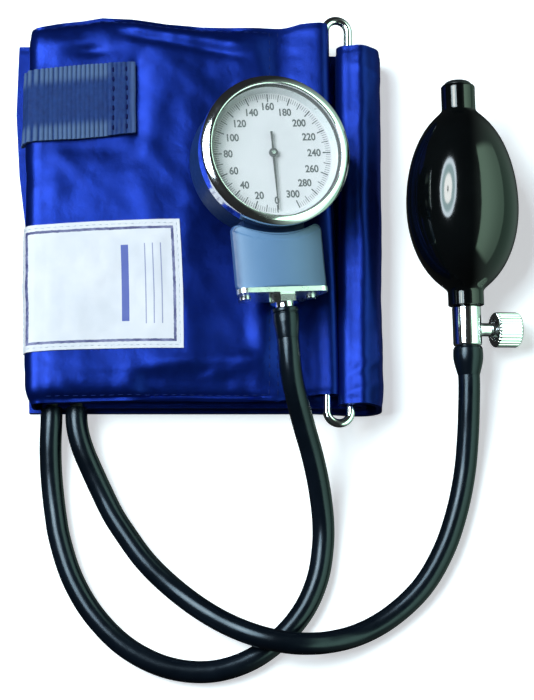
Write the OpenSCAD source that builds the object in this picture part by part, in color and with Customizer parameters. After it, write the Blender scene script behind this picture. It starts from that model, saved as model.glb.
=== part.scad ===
// Aneroid sphygmomanometer: folded ring cuff, dial gauge, squeeze bulb with
// release valve, and the two rubber hoses that join them.
// Millimetres. +Z is up. The origin is the centre of the face on which the
// folded cuff rests. +X runs from the cuff towards the bulb, and +Y runs from
// the hoses' side towards the far edge of the cuff.

/* [Cuff] */
// Width of the cuff band, along Y
cuff_w = 146; // [143:1:147]
// Thickness of one fabric panel
panel_t = 1.2; // [1.0:0.05:1.25]
// Y size of the rubber bladder between the panels
bladder_w = 130; // [120:1:132]
// Thickness of the sewn satin label
label_t = 0.4; // [0.3:0.05:0.6]
// Thickness of the ribbed elastic loop that holds the gauge
strap_t = 1.6; // [1.2:0.1:1.8]

/* [Closure ring] */
// Wire diameter of the closure ring
ring_wire = 3.2; // [3.0:0.05:3.25]
// Overall length of the closure ring
ring_len = 161.5; // [161.5:0.5:165]

/* [Gauge] */
// Outer diameter of the chrome bezel
bezel_d = 56; // [55.6:0.2:57]
// Outer diameter of the plastic cup
cup_d = 52.8; // [52.6:0.1:52.9]
// Width of the neck block under the dial
neck_w = 35; // [34:0.5:36]
// Length of the pointer from its hub to its tip
pointer_len = 21.5; // [19:0.5:22.5]
// Outer diameter of the pressure capsule
capsule_d = 28; // [26:0.5:28]
// Turns of the hairspring
hair_turns = 3; // [2:1:4]

/* [Bulb] */
// Greatest diameter of the rubber bulb
bulb_d = 42; // [40:0.5:42]
// Wall thickness of the bulb
bulb_wall = 2.6; // [2.2:0.1:2.8]
// Diameter of the knurled release knob
knob_d = 13.2; // [12.6:0.1:13.4]
// Number of grooves in the knob's rim
knob_grooves = 28; // [20:1:32]

/* [Hoses] */
// Outer diameter of the rubber hoses
hose_d = 8.2; // [8:0.1:8.2]

/* [Hidden] */
$fn = 64;

// ---- colours -------------------------------------------------------------
blue = [0.10, 0.19, 0.62];
navy = [0.13, 0.17, 0.42];
chrome = [0.86, 0.87, 0.89];
steel = [0.62, 0.64, 0.66];
brass = [0.80, 0.65, 0.33];
black = [0.06, 0.07, 0.07];
slate = [0.43, 0.58, 0.74];

// ---- placement of the three units ------------------------------------------
// Gauge: origin at the dial's centre, local +z out of the dial, local -y
// towards the hose. It leans on its rear clip, right side down.
gauge_org = [28.5, 13, 50.9];
g_pitch = 3;
g_roll = 17;
g_spin = 5.5;
// Bulb: origin at the belly's centre, local +y towards the intake end.
bulb_org = [99.7, 2, 21.5];
b_pitch = 8.5;
b_yaw = 1.8;
valve_roll = 18;

function rot_x(a, p) = [p[0], p[1]*cos(a) - p[2]*sin(a), p[1]*sin(a) + p[2]*cos(a)];
function rot_y(a, p) = [p[0]*cos(a) + p[2]*sin(a), p[1], -p[0]*sin(a) + p[2]*cos(a)];
function rot_z(a, p) = [p[0]*cos(a) - p[1]*sin(a), p[0]*sin(a) + p[1]*cos(a), p[2]];
function gauge_at(p) = gauge_org + rot_x(g_pitch, rot_y(g_roll, rot_z(g_spin, p)));
function bulb_at(p) = bulb_org + rot_z(b_yaw, rot_x(b_pitch, p));

module gauge_frame() translate(gauge_org) rotate([g_pitch, 0, 0]) rotate([0, g_roll, 0]) rotate([0, 0, g_spin]) children();
module bulb_frame() translate(bulb_org) rotate([b_pitch, 0, b_yaw]) children();
module valve_frame() bulb_frame() rotate([0, valve_roll, 0]) children();
// turns a body of revolution made along z onto the local y axis
module along_y() rotate([-90, 0, 0]) children();
module along_x() rotate([0, 90, 0]) children();
// rounded rectangle in the plane, from exact circles and squares
module round_rect(w, h, r) {
  square([w, h - 2*r], center = true);
  square([w - 2*r, h], center = true);
  for (i = [-1, 1], j = [-1, 1]) translate([i*(w/2 - r), j*(h/2 - r)]) circle(r, $fn = 32);
}

// ---- cuff profile in the XZ plane --------------------------------------------
// The band is followed from its hem at the ring, left along the top, round the
// left fold, right along the second layer, up through the ring, over the
// ring's far bar, and down and left again as the tail on which the cuff rests.
bar1 = [48.6, 18.6];
bar2 = [57.4, 17.0];
fold_x = -54.4;
z_top = 19.1;
z_mid = 9.4;
h_top = 4.5;
h_mid = 4.0;
h_tail = 1.4;
half_w = cuff_w/2;

function arc_pts(c, r, a0, a1, n, h0, h1) =
  [for (i = [0:n]) let (a = a0 + (a1 - a0)*i/n) [c[0] + r*cos(a), c[1] + r*sin(a), h0 + (h1 - h0)*i/n]];

// centre line with half thickness: [x, z, h]
layer_top = [[31, 18.8, 1.4], [28, 18.8, 2.2], [24, 19.0, 3.4], [18, z_top, 4.2], [8, z_top, h_top], [-6, z_top, h_top], [-24, z_top, h_top], [-40, z_top, h_top]];
left_fold = arc_pts([fold_x, (z_top + z_mid)/2], (z_top - z_mid)/2, 90, 270, 10, h_top, h_mid);
layer_mid = [[-44, z_mid, h_mid], [-10, z_mid, h_mid], [36, z_mid, h_mid], [42, 9.2, 3.5], [48, 8.8, 2.5], [54, 8.6, 1.6]];
right_fold = arc_pts([60.5, 11.05], 2.45, -90, 90, 8, h_tail, h_tail);
ring_fold = arc_pts(bar2, 3.7, 270, 90, 12, h_tail, h_tail);
over_right = concat(arc_pts([62, 13.9], 6.2, 84, 0, 6, h_tail, h_tail), arc_pts([62, 7.6], 6.2, 0, -90, 6, h_tail, h_tail));
tail_end = [[30, h_tail, h_tail], [0, h_tail, h_tail], [-40, h_tail, h_tail], [-69.9, h_tail, h_tail]];
band = concat(layer_top, left_fold, layer_mid, right_fold, ring_fold, over_right, tail_end);
n_band = len(band);

function unit(v) = v/norm(v);
// outward normal of point i of a path, in the XZ plane
function path_n(p, i) =
  let (a = p[max(i - 1, 0)], b = p[min(i + 1, len(p) - 1)], d = unit([b[0] - a[0], b[1] - a[1]]))
  [d[1], -d[0]];
// path moved along its outward normal by lo + k*h
function path_off(p, k, lo) = [for (i = [0:len(p) - 1]) let (n = path_n(p, i)) [p[i][0] + n[0]*(k*p[i][2] + lo), p[i][1] + n[1]*(k*p[i][2] + lo)]];
function rev(v) = [for (i = [len(v) - 1:-1:0]) v[i]];
// closed outline between two offsets of a path
function strip(p, k0, lo0, k1, lo1) = concat(path_off(p, k0, lo0), rev(path_off(p, k1, lo1)));
function part_of(p, i0, i1) = [for (i = [i0:i1]) p[i]];

// raises an XZ outline into a slab between two Y values
module slab(pts, y0, y1) translate([0, y1, 0]) rotate([90, 0, 0]) linear_extrude(height = y1 - y0, convexity = 10) polygon(pts);

hem = concat([[32.4, 17.5], [38, 17.0], [44, 16.4]], [for (i = [0:8]) let (a = -90 + 180*i/8) [bar1[0] + 2.5*cos(a), bar1[1] + 2.5*sin(a)]], [[44, 21.0], [37, 20.2]]);
outer_line = concat(hem, path_off(band, 1, -panel_t/2));
outer_path = [for (p = outer_line) [p[0], p[1], panel_t/2]];

// index of the first bladder point and of the last one in the band
i_bl0 = 3;
i_bl1 = len(layer_top) + len(left_fold) + 2;

nip_x = [-53.6, -44.4];

// plan of the tail's end: slanted, with rounded corners
tail_x = [-69.9, -63.2];
tail_r = 6;
tail_a = atan2(tail_x[1] - tail_x[0], cuff_w);
function tail_c(y) = [tail_x[0] + (tail_x[1] - tail_x[0])*(half_w - y)/cuff_w + tail_r/cos(tail_a), y];
tail_plan = concat(
  [for (i = [0:8]) let (a = 90 + (90 + tail_a)*i/8) tail_c(half_w - tail_r) + tail_r*[cos(a), sin(a)]],
  [for (i = [0:8]) let (a = 180 + tail_a + (90 - tail_a)*i/8) tail_c(-half_w + tail_r) + tail_r*[cos(a), sin(a)]]);
module tail_trim() translate([0, 0, -1]) linear_extrude(height = 5.2) polygon(concat(
  [[-90, 90], [tail_plan[0][0], 90]], tail_plan, [[tail_plan[17][0], -90], [-90, -90]]));

module cuff_outer_panel() color(blue) difference() {
  slab(strip(outer_path, 1, 0, -1, 0), -half_w, half_w);
  tail_trim();
}

module cuff_inner_panel() color([0.09, 0.16, 0.52]) difference() {
  union() {
    slab(strip(band, -1, 0, -1, panel_t), -half_w, half_w);
    // seam allowances turned in along both long edges
    slab(strip(band, -1, 0, 1, -panel_t - 0.08), -half_w, -half_w + 1.4);
    slab(strip(band, -1, 0, 1, -panel_t - 0.08), half_w - 1.4, half_w);
  }
  for (x = nip_x) translate([x, -half_w - 1, z_mid]) along_y() cylinder(r = 2.7, h = 4, $fn = 32);
  tail_trim();
}

module bladder() color(black) difference() {
  slab(strip(part_of(band, i_bl0, i_bl1), 1, -panel_t - 0.15, -1, panel_t + 0.15), -bladder_w/2, bladder_w/2);
  for (x = nip_x) translate([x, -bladder_w/2 - 1, z_mid]) along_y() cylinder(r = 2.6, h = 9, $fn = 32);
}

module bladder_nipples() color(black) for (x = nip_x) translate([x, -half_w, z_mid]) along_y() difference() {
  cylinder(r = 2.6, h = half_w - bladder_w/2 + 8, $fn = 32);
  translate([0, 0, -1]) cylinder(r = 1.6, h = 30, $fn = 32);
}

module loop_patch() color([0.12, 0.2, 0.5]) translate([-60 + 4, -half_w + 4, 4.1]) cube([92, cuff_w - 8, 1.2]);
module hook_patch() color([0.08, 0.1, 0.3]) translate([-61.5, -half_w + 4, 2.85]) cube([53.5, cuff_w - 8, 1.15]);

// stretch of the band's top face between x = hi and the middle of the left fold
function top_run(hi) = concat([[hi, z_top, h_top]], [for (i = [6:7]) if (layer_top[i][0] < hi - 1) layer_top[i]], [for (i = [0:4]) [left_fold[i][0], left_fold[i][1], h_top]]);
module label() color([0.92, 0.93, 0.97]) slab(strip(top_run(-5.5), 1, label_t + 0.03, 1, 0.03), -55.5, -6);
module gauge_strap() color(navy) slab(strip(top_run(-23.5), 1, strap_t + 0.03, 1, 0.03), 28.5, 56.5);

module closure_ring() color(chrome) {
  w = norm(bar2 - bar1);
  a = atan2(bar2[1] - bar1[1], bar2[0] - bar1[0]);
  L = ring_len - w - ring_wire;
  translate([bar1[0], -1.5, bar1[1]]) rotate([0, -a, 0]) {
    for (x = [0, w]) translate([x, -L/2, 0]) along_y() cylinder(d = ring_wire, h = L, $fn = 32);
    // bends, drawn a hair thinner than the straight bars as bent wire is
    translate([w/2, L/2, 0]) rotate_extrude(angle = 180, $fn = 48) translate([w/2, 0]) circle(d = ring_wire - 0.06, $fn = 32);
    translate([w/2, -L/2, 0]) rotate([0, 0, 180]) rotate_extrude(angle = 180, $fn = 48) translate([w/2, 0]) circle(d = ring_wire - 0.06, $fn = 32);
  }
}

// ---- gauge ---------------------------------------------------------------------
cup_r = cup_d/2;
bez_r = bezel_d/2;
case_back = -21;
wall = 1.6;
floor_in = case_back + wall;
noz_x = 1.5;
noz_z = -7;
neck_end = -50;
boss_a = [90, 200, 340];
boss_r = 20;
cap_c = [1.5, 3.7];
sec_dist = 13.75;
sec_ang = 149.4;
sec_c = [sec_dist*cos(sec_ang), sec_dist*sin(sec_ang)];
pillar_at = [[-16.5, 2.5], [10, -4], [0, 13.5]];
shaft_y = 6.1;
shaft_z = -7.4;
pipe_z = -16.6;

module neck_body() intersection() {
  difference() {
    translate([0, (neck_end - 26)/2, -19.5]) linear_extrude(height = 20.5) round_rect(neck_w, -26 - neck_end, 2.4);
    // hollow front edge that follows the bezel
    translate([0, 0, -4.6]) cylinder(r = 29.8, h = 8, $fn = 128);
  }
  // crowned front and softened rear corners
  translate([0, -60, -36]) along_y() cylinder(r = 36.6, h = 50, $fn = 128);
  translate([0, -60, 12.5]) along_y() cylinder(r = 34, h = 50, $fn = 128);
  // sides that draw in towards the back
  translate([0, -20, 0]) rotate([90, 0, 0]) linear_extrude(height = 40) neck_section(neck_w);
}
module neck_section(w) polygon([[-w/2, 2], [w/2, 2], [w/2, -4], [w/2 - 5.2, -20], [-w/2 + 5.2, -20], [-w/2, -4]]);
// root that joins the pad to the cup, under the bezel
module neck_root() translate([-12, -34, -18.6]) cube([24, 15, 12.6]);

module gauge_case() color(slate) gauge_frame() difference() {
  union() {
    rotate_extrude($fn = 96) polygon(concat([[0, case_back]], [for (i = [0:5]) let (a = -90 + 18*i) [cup_r - 3.2 + 3.2*cos(a), case_back + 3.2 + 3.2*sin(a)]], [[cup_r, 2.9], [0, 2.9]]));
    neck_body();
    neck_root();
  }
  // hollow of the cup, with a ledge for the dial
  difference() {
    rotate_extrude($fn = 96) polygon([[0, floor_in], [24, floor_in], [24, -0.5], [24.7, -0.5], [24.7, 3.2], [0, 3.2]]);
    for (a = boss_a) translate([boss_r*cos(a), boss_r*sin(a), floor_in - 0.5]) cylinder(r = 2.2, h = -9.4 - floor_in + 0.5, $fn = 32);
  }
  for (a = boss_a) translate([boss_r*cos(a), boss_r*sin(a), -17]) cylinder(r = 0.8, h = 9, $fn = 24);
  // chamber of the inlet block, open at the neck's end
  translate([noz_x - 6.2, neck_end - 1, -18.4]) cube([12.4, 18.4, 16.2]);
  // way of the inlet pipe into the cup
  translate([noz_x, -34, pipe_z]) along_y() cylinder(r = 1.3, h = 14, $fn = 24);
  // pilot holes of the end plate screws
  for (x = [-12.5, 12.5]) translate([x, neck_end - 1, -9.5]) along_y() cylinder(r = 1.0, h = 11, $fn = 24);
  // rivet holes of the rear clip
  for (y = [8.5, 14]) translate([0, y, case_back - 1]) cylinder(r = 1.2, h = 4, $fn = 24);
}

module bezel() color(chrome) gauge_frame() rotate_extrude($fn = 128) polygon([
  [cup_r + 0.1, -4], [bez_r - 1.0, -4], [bez_r - 0.4, -3.4], [bez_r, -2.2], [bez_r, 1.6], [bez_r - 0.2, 3.2], [bez_r - 0.7, 4.6], [bez_r - 1.4, 5.7], [bez_r - 2.1, 6.3], [25.3, 6.4], [24.9, 6.0], [24.9, 5.05],
  [25.9, 5.05], [25.9, 2.95], [cup_r + 0.1, 2.95]]);

module lens() color([0.85, 0.93, 0.95, 0.35]) gauge_frame() translate([0, 0, 3.62]) cylinder(r = 25.8, h = 1.38, $fn = 96);

module lens_gasket() color(black) gauge_frame() rotate_extrude($fn = 96) polygon([[24.3, 2.93], [25.8, 2.93], [25.8, 3.6], [24.3, 3.6]]);

module dial_ring() color([0.88, 0.88, 0.9]) gauge_frame() rotate_extrude($fn = 96) polygon([[22.9, 0.02], [24.6, 0.02], [24.6, 2.88], [24.3, 2.88]]);

module dial_plate() color([0.96, 0.96, 0.96]) gauge_frame() translate([0, 0, -0.48]) difference() {
  cylinder(r = 24.6, h = 0.48, $fn = 96);
  translate([0, 0, -1]) cylinder(r = 1.1, h = 3, $fn = 32);
}

// tooth outline of a gear or of a stretch of one, as [x, y] points
function teeth(n, rp_root, rp_tip, step, a0, wr, wt) = [for (i = [0:n - 1], q = [[rp_root, -wr], [rp_tip, -wt], [rp_tip, wt], [rp_root, wr]]) let (a = a0 + i*step + q[1]) [q[0]*cos(a), q[0]*sin(a)]];

module pinion_arbor() color(steel) gauge_frame() {
  translate([0, 0, -9.3]) cylinder(r = 0.5, h = 11.1, $fn = 24);
  // pin on which the pointer is pressed
  translate([0, 0, 0.6]) cylinder(r = 0.75, h = 1.2, $fn = 32);
  translate([0, 0, -4.2]) linear_extrude(height = 1.6) polygon(teeth(10, 0.92, 1.45, 36, sec_ang, 11, 4.5));
  // collet that carries the inner end of the hairspring
  translate([0, 0, -7.1]) cylinder(r = 0.9, h = 0.8, $fn = 24);
}

module pointer() color([0.08, 0.08, 0.09]) gauge_frame() difference() {
  union() {
    translate([0, 0, 0.75]) cylinder(r = 1.6, h = 0.95, $fn = 40);
    translate([0, 0, 0.95]) linear_extrude(height = 0.35) polygon([[-0.45, 0], [-0.13, -pointer_len], [0.13, -pointer_len], [0.45, 0], [0.3, 4], [0.42, 8], [-0.42, 8], [-0.3, 4]]);
  }
  translate([0, 0, 0.5]) cylinder(r = 0.75, h = 3, $fn = 32);
}

// flat spiral between two radii
function spiral(r0, r1, turns, n, t) = [for (i = [0:n]) let (a = 360*turns*i/n, r = r0 + (r1 - r0)*i/n + t) [r*cos(a), r*sin(a)]];
module hairspring() color(brass) gauge_frame() translate([0, 0, -6.85]) {
  linear_extrude(height = 0.35) polygon(concat(spiral(1.15, 2.5, hair_turns, 16*hair_turns, 0.05), rev(spiral(1.15, 2.5, hair_turns, 16*hair_turns, -0.05))));
  // fixed stud of the outer end
  translate([2.75, 0, -1.55]) cylinder(r = 0.35, h = 2.1, $fn = 16);
}

module sector_gear() color(brass) gauge_frame() translate([sec_c[0], sec_c[1], 0]) {
  // direction of the pinion seen from the sector's pivot, at rest near one end of the teeth
  to_pinion = sec_ang - 180;
  difference() {
    union() {
      translate([0, 0, -3.8]) linear_extrude(height = 0.8) polygon(concat(
        [[0.4, 1.2], [-1.2, 0.4], [-0.4, -1.2]],
        teeth(12, 12.2, 12.68, 3.6, to_pinion - 37.8, 0.95, 0.45)));
      translate([0, 0, -5.4]) cylinder(r = 1.8, h = 2.4, $fn = 32);
      // tail that the rocker's finger pushes
      rotate([0, 0, -16.9]) translate([0, -0.4, -5.2]) cube([3.7, 0.8, 0.8]);
    }
    translate([0, 0, -6]) cylinder(r = 0.6, h = 4, $fn = 24);
    // lightening window
    translate([0, 0, -5]) linear_extrude(height = 3) polygon([for (q = [[3.6, -54], [10.6, -64], [10.6, -54], [10.6, -44], [10.6, -34], [3.6, -42]]) [q[0]*cos(q[1]), q[0]*sin(q[1])]]);
  }
}

module sector_arbor() color(steel) gauge_frame() translate([sec_c[0], sec_c[1], -9.3]) cylinder(r = 0.6, h = 8, $fn = 24);

module rocker_shaft() color(steel) gauge_frame() translate([0, shaft_y, shaft_z]) {
  translate([-9.6, 0, 0]) along_x() cylinder(r = 0.6, h = 15.2, $fn = 24);
  // arm over the capsule's stud
  translate([cap_c[0] - 0.8, -3.1, -0.4]) cube([1.6, 3.1, 0.8]);
  // finger beside the sector's tail, leaning back 20 degrees at rest
  translate([sec_c[0] + 2.6, 0, 0]) rotate([20, 0, 0]) translate([0, -0.3, 0]) cube([0.8, 0.6, 2.9]);
}

module movement_base() color(brass) gauge_frame() difference() {
  union() {
    translate([0, 0, -9.4]) cylinder(r = 22.2, h = 1, $fn = 96);
    // two ears that carry the rocker shaft
    for (x = [-7.2, 3.6]) translate([x, shaft_y - 1.4, -8.5]) cube([1.2, 2.8, 2.3]);
  }
  translate([0, 0, -10]) cylinder(r = 0.55, h = 3, $fn = 24);
  translate([sec_c[0], sec_c[1], -10]) cylinder(r = 0.65, h = 3, $fn = 24);
  translate([cap_c[0], cap_c[1], -10]) cylinder(r = 2.0, h = 3, $fn = 32);
  translate([-12, shaft_y, shaft_z]) along_x() cylinder(r = 0.65, h = 20, $fn = 24);
  translate([2.75, 0, -10]) cylinder(r = 0.35, h = 3, $fn = 16);
  for (a = boss_a) translate([boss_r*cos(a), boss_r*sin(a), -10]) cylinder(r = 0.9, h = 3, $fn = 24);
  // windows through which the capsule is seen
  translate([11, -13, -10]) cylinder(r = 3.5, h = 3, $fn = 32);
  translate([-9, -13.5, -10]) cylinder(r = 4, h = 3, $fn = 32);
}

module top_plate() color(brass) gauge_frame() difference() {
  translate([0, 0, -2.3]) linear_extrude(height = 1) polygon([[-19.4, 2], [-16.5, -0.6], [9, -7.2], [12.4, -6], [13, -2.5], [3, 15], [0, 16.5], [-3, 15.6], [-14.5, 10.4]]);
  translate([0, 0, -4]) cylinder(r = 0.55, h = 4, $fn = 24);
  translate([sec_c[0], sec_c[1], -4]) cylinder(r = 0.65, h = 4, $fn = 24);
  for (p = pillar_at) translate([p[0], p[1], -4]) cylinder(r = 0.8, h = 4, $fn = 24);
}

module movement_pillars() color(brass) gauge_frame() for (p = pillar_at) translate([p[0], p[1], -8.4]) difference() {
  cylinder(r = 1.5, h = 6.1, $fn = 32);
  translate([0, 0, 3]) cylinder(r = 0.7, h = 4, $fn = 24);
}

module slotted_screw(head_r, head_h, shank_r, shank_h) difference() {
  union() {
    cylinder(r = head_r, h = head_h, $fn = 32);
    translate([0, 0, -shank_h]) cylinder(r = shank_r, h = shank_h + 0.1, $fn = 24);
  }
  translate([-head_r - 1, -0.2, head_h - 0.35]) cube([2*head_r + 2, 0.4, 1]);
}

module base_screws() color(steel) gauge_frame() for (a = boss_a) translate([boss_r*cos(a), boss_r*sin(a), -8.4]) slotted_screw(1.6, 0.9, 0.75, 5);
module pillar_screws() color(steel) gauge_frame() for (p = pillar_at) translate([p[0], p[1], -1.3]) slotted_screw(1.4, 0.6, 0.65, 3);

cap_r = capsule_d/2;
module capsule() color(brass) gauge_frame() translate([cap_c[0], cap_c[1], 0]) rotate_extrude($fn = 96) polygon(concat(
  [[0, -15.2]],
  [for (i = [0:10]) [2.6 + (cap_r - 4.2)*i/10, -15.2 + 0.5*(i % 2) + 0.14*i]],
  [[cap_r - 0.4, -13.2], [cap_r, -13.2], [cap_r, -12.6], [cap_r - 0.4, -12.6]],
  [for (i = [10:-1:0]) [2.6 + (cap_r - 4.2)*i/10, -10.6 - 0.5*(i % 2) - 0.14*i]],
  [[0, -10.6]]));

module capsule_stud() color(steel) gauge_frame() translate([cap_c[0], cap_c[1], -10.45]) {
  cylinder(r = 1.4, h = 1.45, $fn = 32);
  // narrow top on which the rocker's arm rides
  translate([0, 0, 1.4]) cylinder(r = 0.5, h = 1.05, $fn = 24);
}

module inlet_pipe() color(brass) gauge_frame() difference() {
  union() {
    translate([noz_x, -39.4, pipe_z]) along_y() cylinder(r = 1.1, h = 39.4 + cap_c[1], $fn = 32);
    translate([cap_c[0], cap_c[1], -18.6]) cylinder(r = 2.2, h = 3.4, $fn = 32);
  }
  translate([noz_x, -41, pipe_z]) along_y() cylinder(r = 0.6, h = 41 + cap_c[1], $fn = 24);
  translate([cap_c[0], cap_c[1], pipe_z - 0.8]) cylinder(r = 0.9, h = 4, $fn = 24);
}

module inlet_block() color(brass) gauge_frame() difference() {
  translate([noz_x - 6, neck_end + 0.2, -18.2]) cube([12, 17, 15.8]);
  // thread of the nipple
  translate([noz_x, neck_end - 1, noz_z]) along_y() cylinder(r = 2.5, h = 12, $fn = 32);
  // cross passage down to the pipe
  translate([noz_x, -40.4, pipe_z]) cylinder(r = 0.8, h = 9.6, $fn = 24);
  translate([noz_x, -41.6, pipe_z]) along_y() cylinder(r = 1.12, h = 12, $fn = 32);
}

module end_plate() color(chrome) gauge_frame() difference() {
  translate([0, neck_end, -9.3]) rotate([90, 0, 0]) linear_extrude(height = 1.8) intersection() {
    round_rect(neck_w - 0.8, 18.6, 3);
    translate([0, 9.3]) neck_section(neck_w - 0.8);
  }
  translate([noz_x, neck_end - 3, noz_z]) along_y() cylinder(r = 2.6, h = 5, $fn = 32);
  for (x = [-12.5, 12.5]) translate([x, neck_end - 3, -9.5]) along_y() cylinder(r = 1.2, h = 5, $fn = 24);
}

module end_plate_screws() color(steel) gauge_frame() for (x = [-12.5, 12.5]) translate([x, neck_end - 1.8, -9.5]) rotate([90, 0, 0]) slotted_screw(2.1, 0.9, 0.95, 9);

module gauge_nipple() color(chrome) gauge_frame() translate([noz_x, neck_end - 1.8, noz_z]) rotate([90, 0, 0]) difference() {
  union() {
    cylinder(r = 5.6, h = 3, $fn = 6);
    translate([0, 0, 3]) cylinder(r = 3.5, h = 1.6, $fn = 40);
    translate([0, 0, -8]) cylinder(r = 2.45, h = 8.1, $fn = 32);
    // barbed spigot inside the hose end
    rotate_extrude($fn = 40) polygon([[0, 4], [2.0, 4], [2.0, 7], [2.6, 7.2], [2.0, 9.4], [2.6, 9.6], [2.0, 11.8], [2.5, 12], [1.7, 14.6], [0, 14.6]]);
  }
  translate([0, 0, -9]) cylinder(r = 1.0, h = 30, $fn = 24);
}

module rear_clip() color(steel) gauge_frame() difference() {
  translate([-7, 0, 0]) rotate([90, 0, 90]) linear_extrude(height = 14) polygon([
    [17, -21.05], [4, -21.05], [1.4, -21.7], [-1, -23.4], [-14, -24.1], [-19.4, -22.5], [-22, -23.6], [-22.3, -24.3], [-19.3, -23.3], [-14.1, -24.9], [-1.4, -24.2], [1, -22.5], [3.6, -21.85], [17, -21.85]]);
  for (y = [8.5, 14]) translate([0, y, case_back - 3]) cylinder(r = 1.2, h = 6, $fn = 24);
}

module clip_rivets() color(steel) gauge_frame() for (y = [8.5, 14]) translate([0, y, 0]) {
  translate([0, 0, case_back - 1.5]) cylinder(r = 2.0, h = 0.6, $fn = 32);
  translate([0, 0, case_back - 1]) cylinder(r = 1.15, h = wall + 1.4, $fn = 24);
  translate([0, 0, floor_in + 0.02]) cylinder(r = 1.9, h = 0.5, $fn = 32);
}

// ---- bulb and release valve ---------------------------------------------------------
bulb_r = bulb_d/2;
neck_top = 6.4;
neck_low = 6.7;
s_top = 46.2;
s_low = -37.6;
len_up = 37;
len_dn = 32.5;
bore_r = 4.2;

function egg(s, r, lu, ld) = let (q = s/(s > 0 ? lu : ld)) r*sqrt(max(0, 1 - q*q));
function smooth_max(a, b) = pow(pow(a, 4.6) + pow(b, 4.6), 1/4.6);
function bulb_out(s) = smooth_max(s > 0 ? neck_top : neck_low, egg(s, bulb_r, len_up, len_dn));
function bulb_in(s) = smooth_max(bore_r, egg(s, bulb_r - bulb_wall, len_up - 3.2, len_dn - 3.2));

module bulb() color(black) bulb_frame() along_y() rotate_extrude($fn = 96) polygon(concat(
  [for (i = [0:14]) let (s = s_low + (0 - s_low)*i/14) [bulb_out(s), s]],
  [for (i = [1:15]) let (s = (s_top - 0.8)*i/15) [bulb_out(s), s]],
  [[neck_top - 0.8, s_top], [bore_r, s_top]],
  [for (i = [14:-1:0]) let (s = (s_top - 4)*i/14) [bulb_in(s), s]],
  [for (i = [1:14]) let (s = s_low*i/14) [bulb_in(s), s]]));

module intake_valve_body() color([0.1, 0.11, 0.11]) bulb_frame() along_y() rotate_extrude($fn = 48) polygon([
  [3.0, 34.6], [4.15, 34.6], [4.15, 46.25], [5.2, 46.25], [5.0, 46.8], [4.2, 47.4], [3.0, 47.9], [1.2, 48.1], [1.2, 43], [3.0, 43]]);

module intake_flap() color([0.25, 0.12, 0.1]) bulb_frame() translate([0, 42.1, 0]) along_y() cylinder(r = 2.4, h = 0.8, $fn = 32);

module intake_retainer() color(steel) bulb_frame() translate([0, 39.6, 0]) along_y() difference() {
  union() {
    cylinder(r = 2.96, h = 0.8, $fn = 32);
    translate([0, 0, -1.6]) cylinder(r = 0.8, h = 1.8, $fn = 24);
  }
  for (a = [0:60:300]) rotate([0, 0, a]) translate([1.9, 0, -1]) cylinder(r = 0.6, h = 3, $fn = 16);
}

vy = -46.5;
module valve_body() color(chrome) valve_frame() difference() {
  union() {
    along_y() rotate_extrude($fn = 64) polygon([
      [0, -63.4], [2.3, -63.4], [3.0, -61.2], [2.5, -61], [3.0, -58.7], [2.5, -58.5], [3.0, -56.2], [2.5, -56], [2.5, -52.6],
      [4.9, -52.6], [5.4, -52.1], [5.4, -38.2], [4.9, -37.7], [4.15, -37.7], [4.15, -28.4], [3.8, -28], [0, -28]]);
    translate([3.5, vy, 0]) along_x() cylinder(r = 2.5, h = 6.4, $fn = 40);
  }
  // bore from the bulb, with the chamber of the outlet ball
  translate([0, -42, 0]) along_y() cylinder(r = 2.6, h = 15, $fn = 40);
  translate([0, -67, 0]) along_y() cylinder(r = 1.3, h = 26, $fn = 32);
  // needle's bore, seat and vent
  translate([2.2, vy, 0]) along_x() cylinder(r = 1.6, h = 9, $fn = 32);
  translate([0, vy, 0]) along_x() cylinder(r = 0.9, h = 4, $fn = 24);
  translate([7.4, vy, 0]) cylinder(r = 0.5, h = 4, $fn = 16);
}

module outlet_valve_seat() color(brass) valve_frame() along_y() rotate_extrude($fn = 40) polygon([[1.1, -35.6], [1.5, -36], [2.6, -36], [2.6, -28.2], [1.1, -28.2]]);

module outlet_ball() color(steel) valve_frame() translate([0, -36.97, 0]) sphere(r = 1.7, $fn = 48);

module release_needle() color(steel) valve_frame() translate([0, vy, 0]) along_x() rotate_extrude($fn = 32) polygon([[0, 1.5], [0.25, 1.5], [0.8, 2.6], [1.55, 2.6], [1.55, 12.3], [1.25, 12.3], [1.25, 18.1], [0.65, 18.1], [0.65, 13.6], [0, 13.6]]);

module needle_packing() color(black) valve_frame() translate([9.95, vy, 0]) along_x() difference() {
  cylinder(r = 2.4, h = 0.6, $fn = 40);
  translate([0, 0, -1]) cylinder(r = 1.62, h = 3, $fn = 32);
}

module release_knob() color(chrome) valve_frame() translate([10.8, vy, 0]) along_x() difference() {
  rotate_extrude($fn = 96) polygon([[1.3, 1.6], [4.3, 1.6], [4.3, 0], [knob_d/2 - 0.5, 0], [knob_d/2, 0.5], [knob_d/2, 9.0], [knob_d/2 - 0.7, 9.7], [2.4, 9.7], [2.4, 7.4], [1.3, 7.4]]);
  for (i = [0:knob_grooves - 1]) rotate([0, 0, 360*i/knob_grooves]) translate([knob_d/2 + 0.15, 0, -1]) rotate([0, 0, 45]) cylinder(r = 0.55, h = 14, $fn = 4);
}

module knob_screw() color(steel) valve_frame() translate([18.22, vy, 0]) along_x() difference() {
  union() {
    cylinder(r = 2.2, h = 1.6, $fn = 32);
    translate([0, 0, -3.9]) cylinder(r = 0.6, h = 4, $fn = 24);
  }
  translate([-3, -0.3, 1]) cube([6, 0.6, 2]);
}

// ---- hoses -----------------------------------------------------------------------------
hose_r = hose_d/2;
he_g = 68;
he_b = 63.6;

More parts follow.
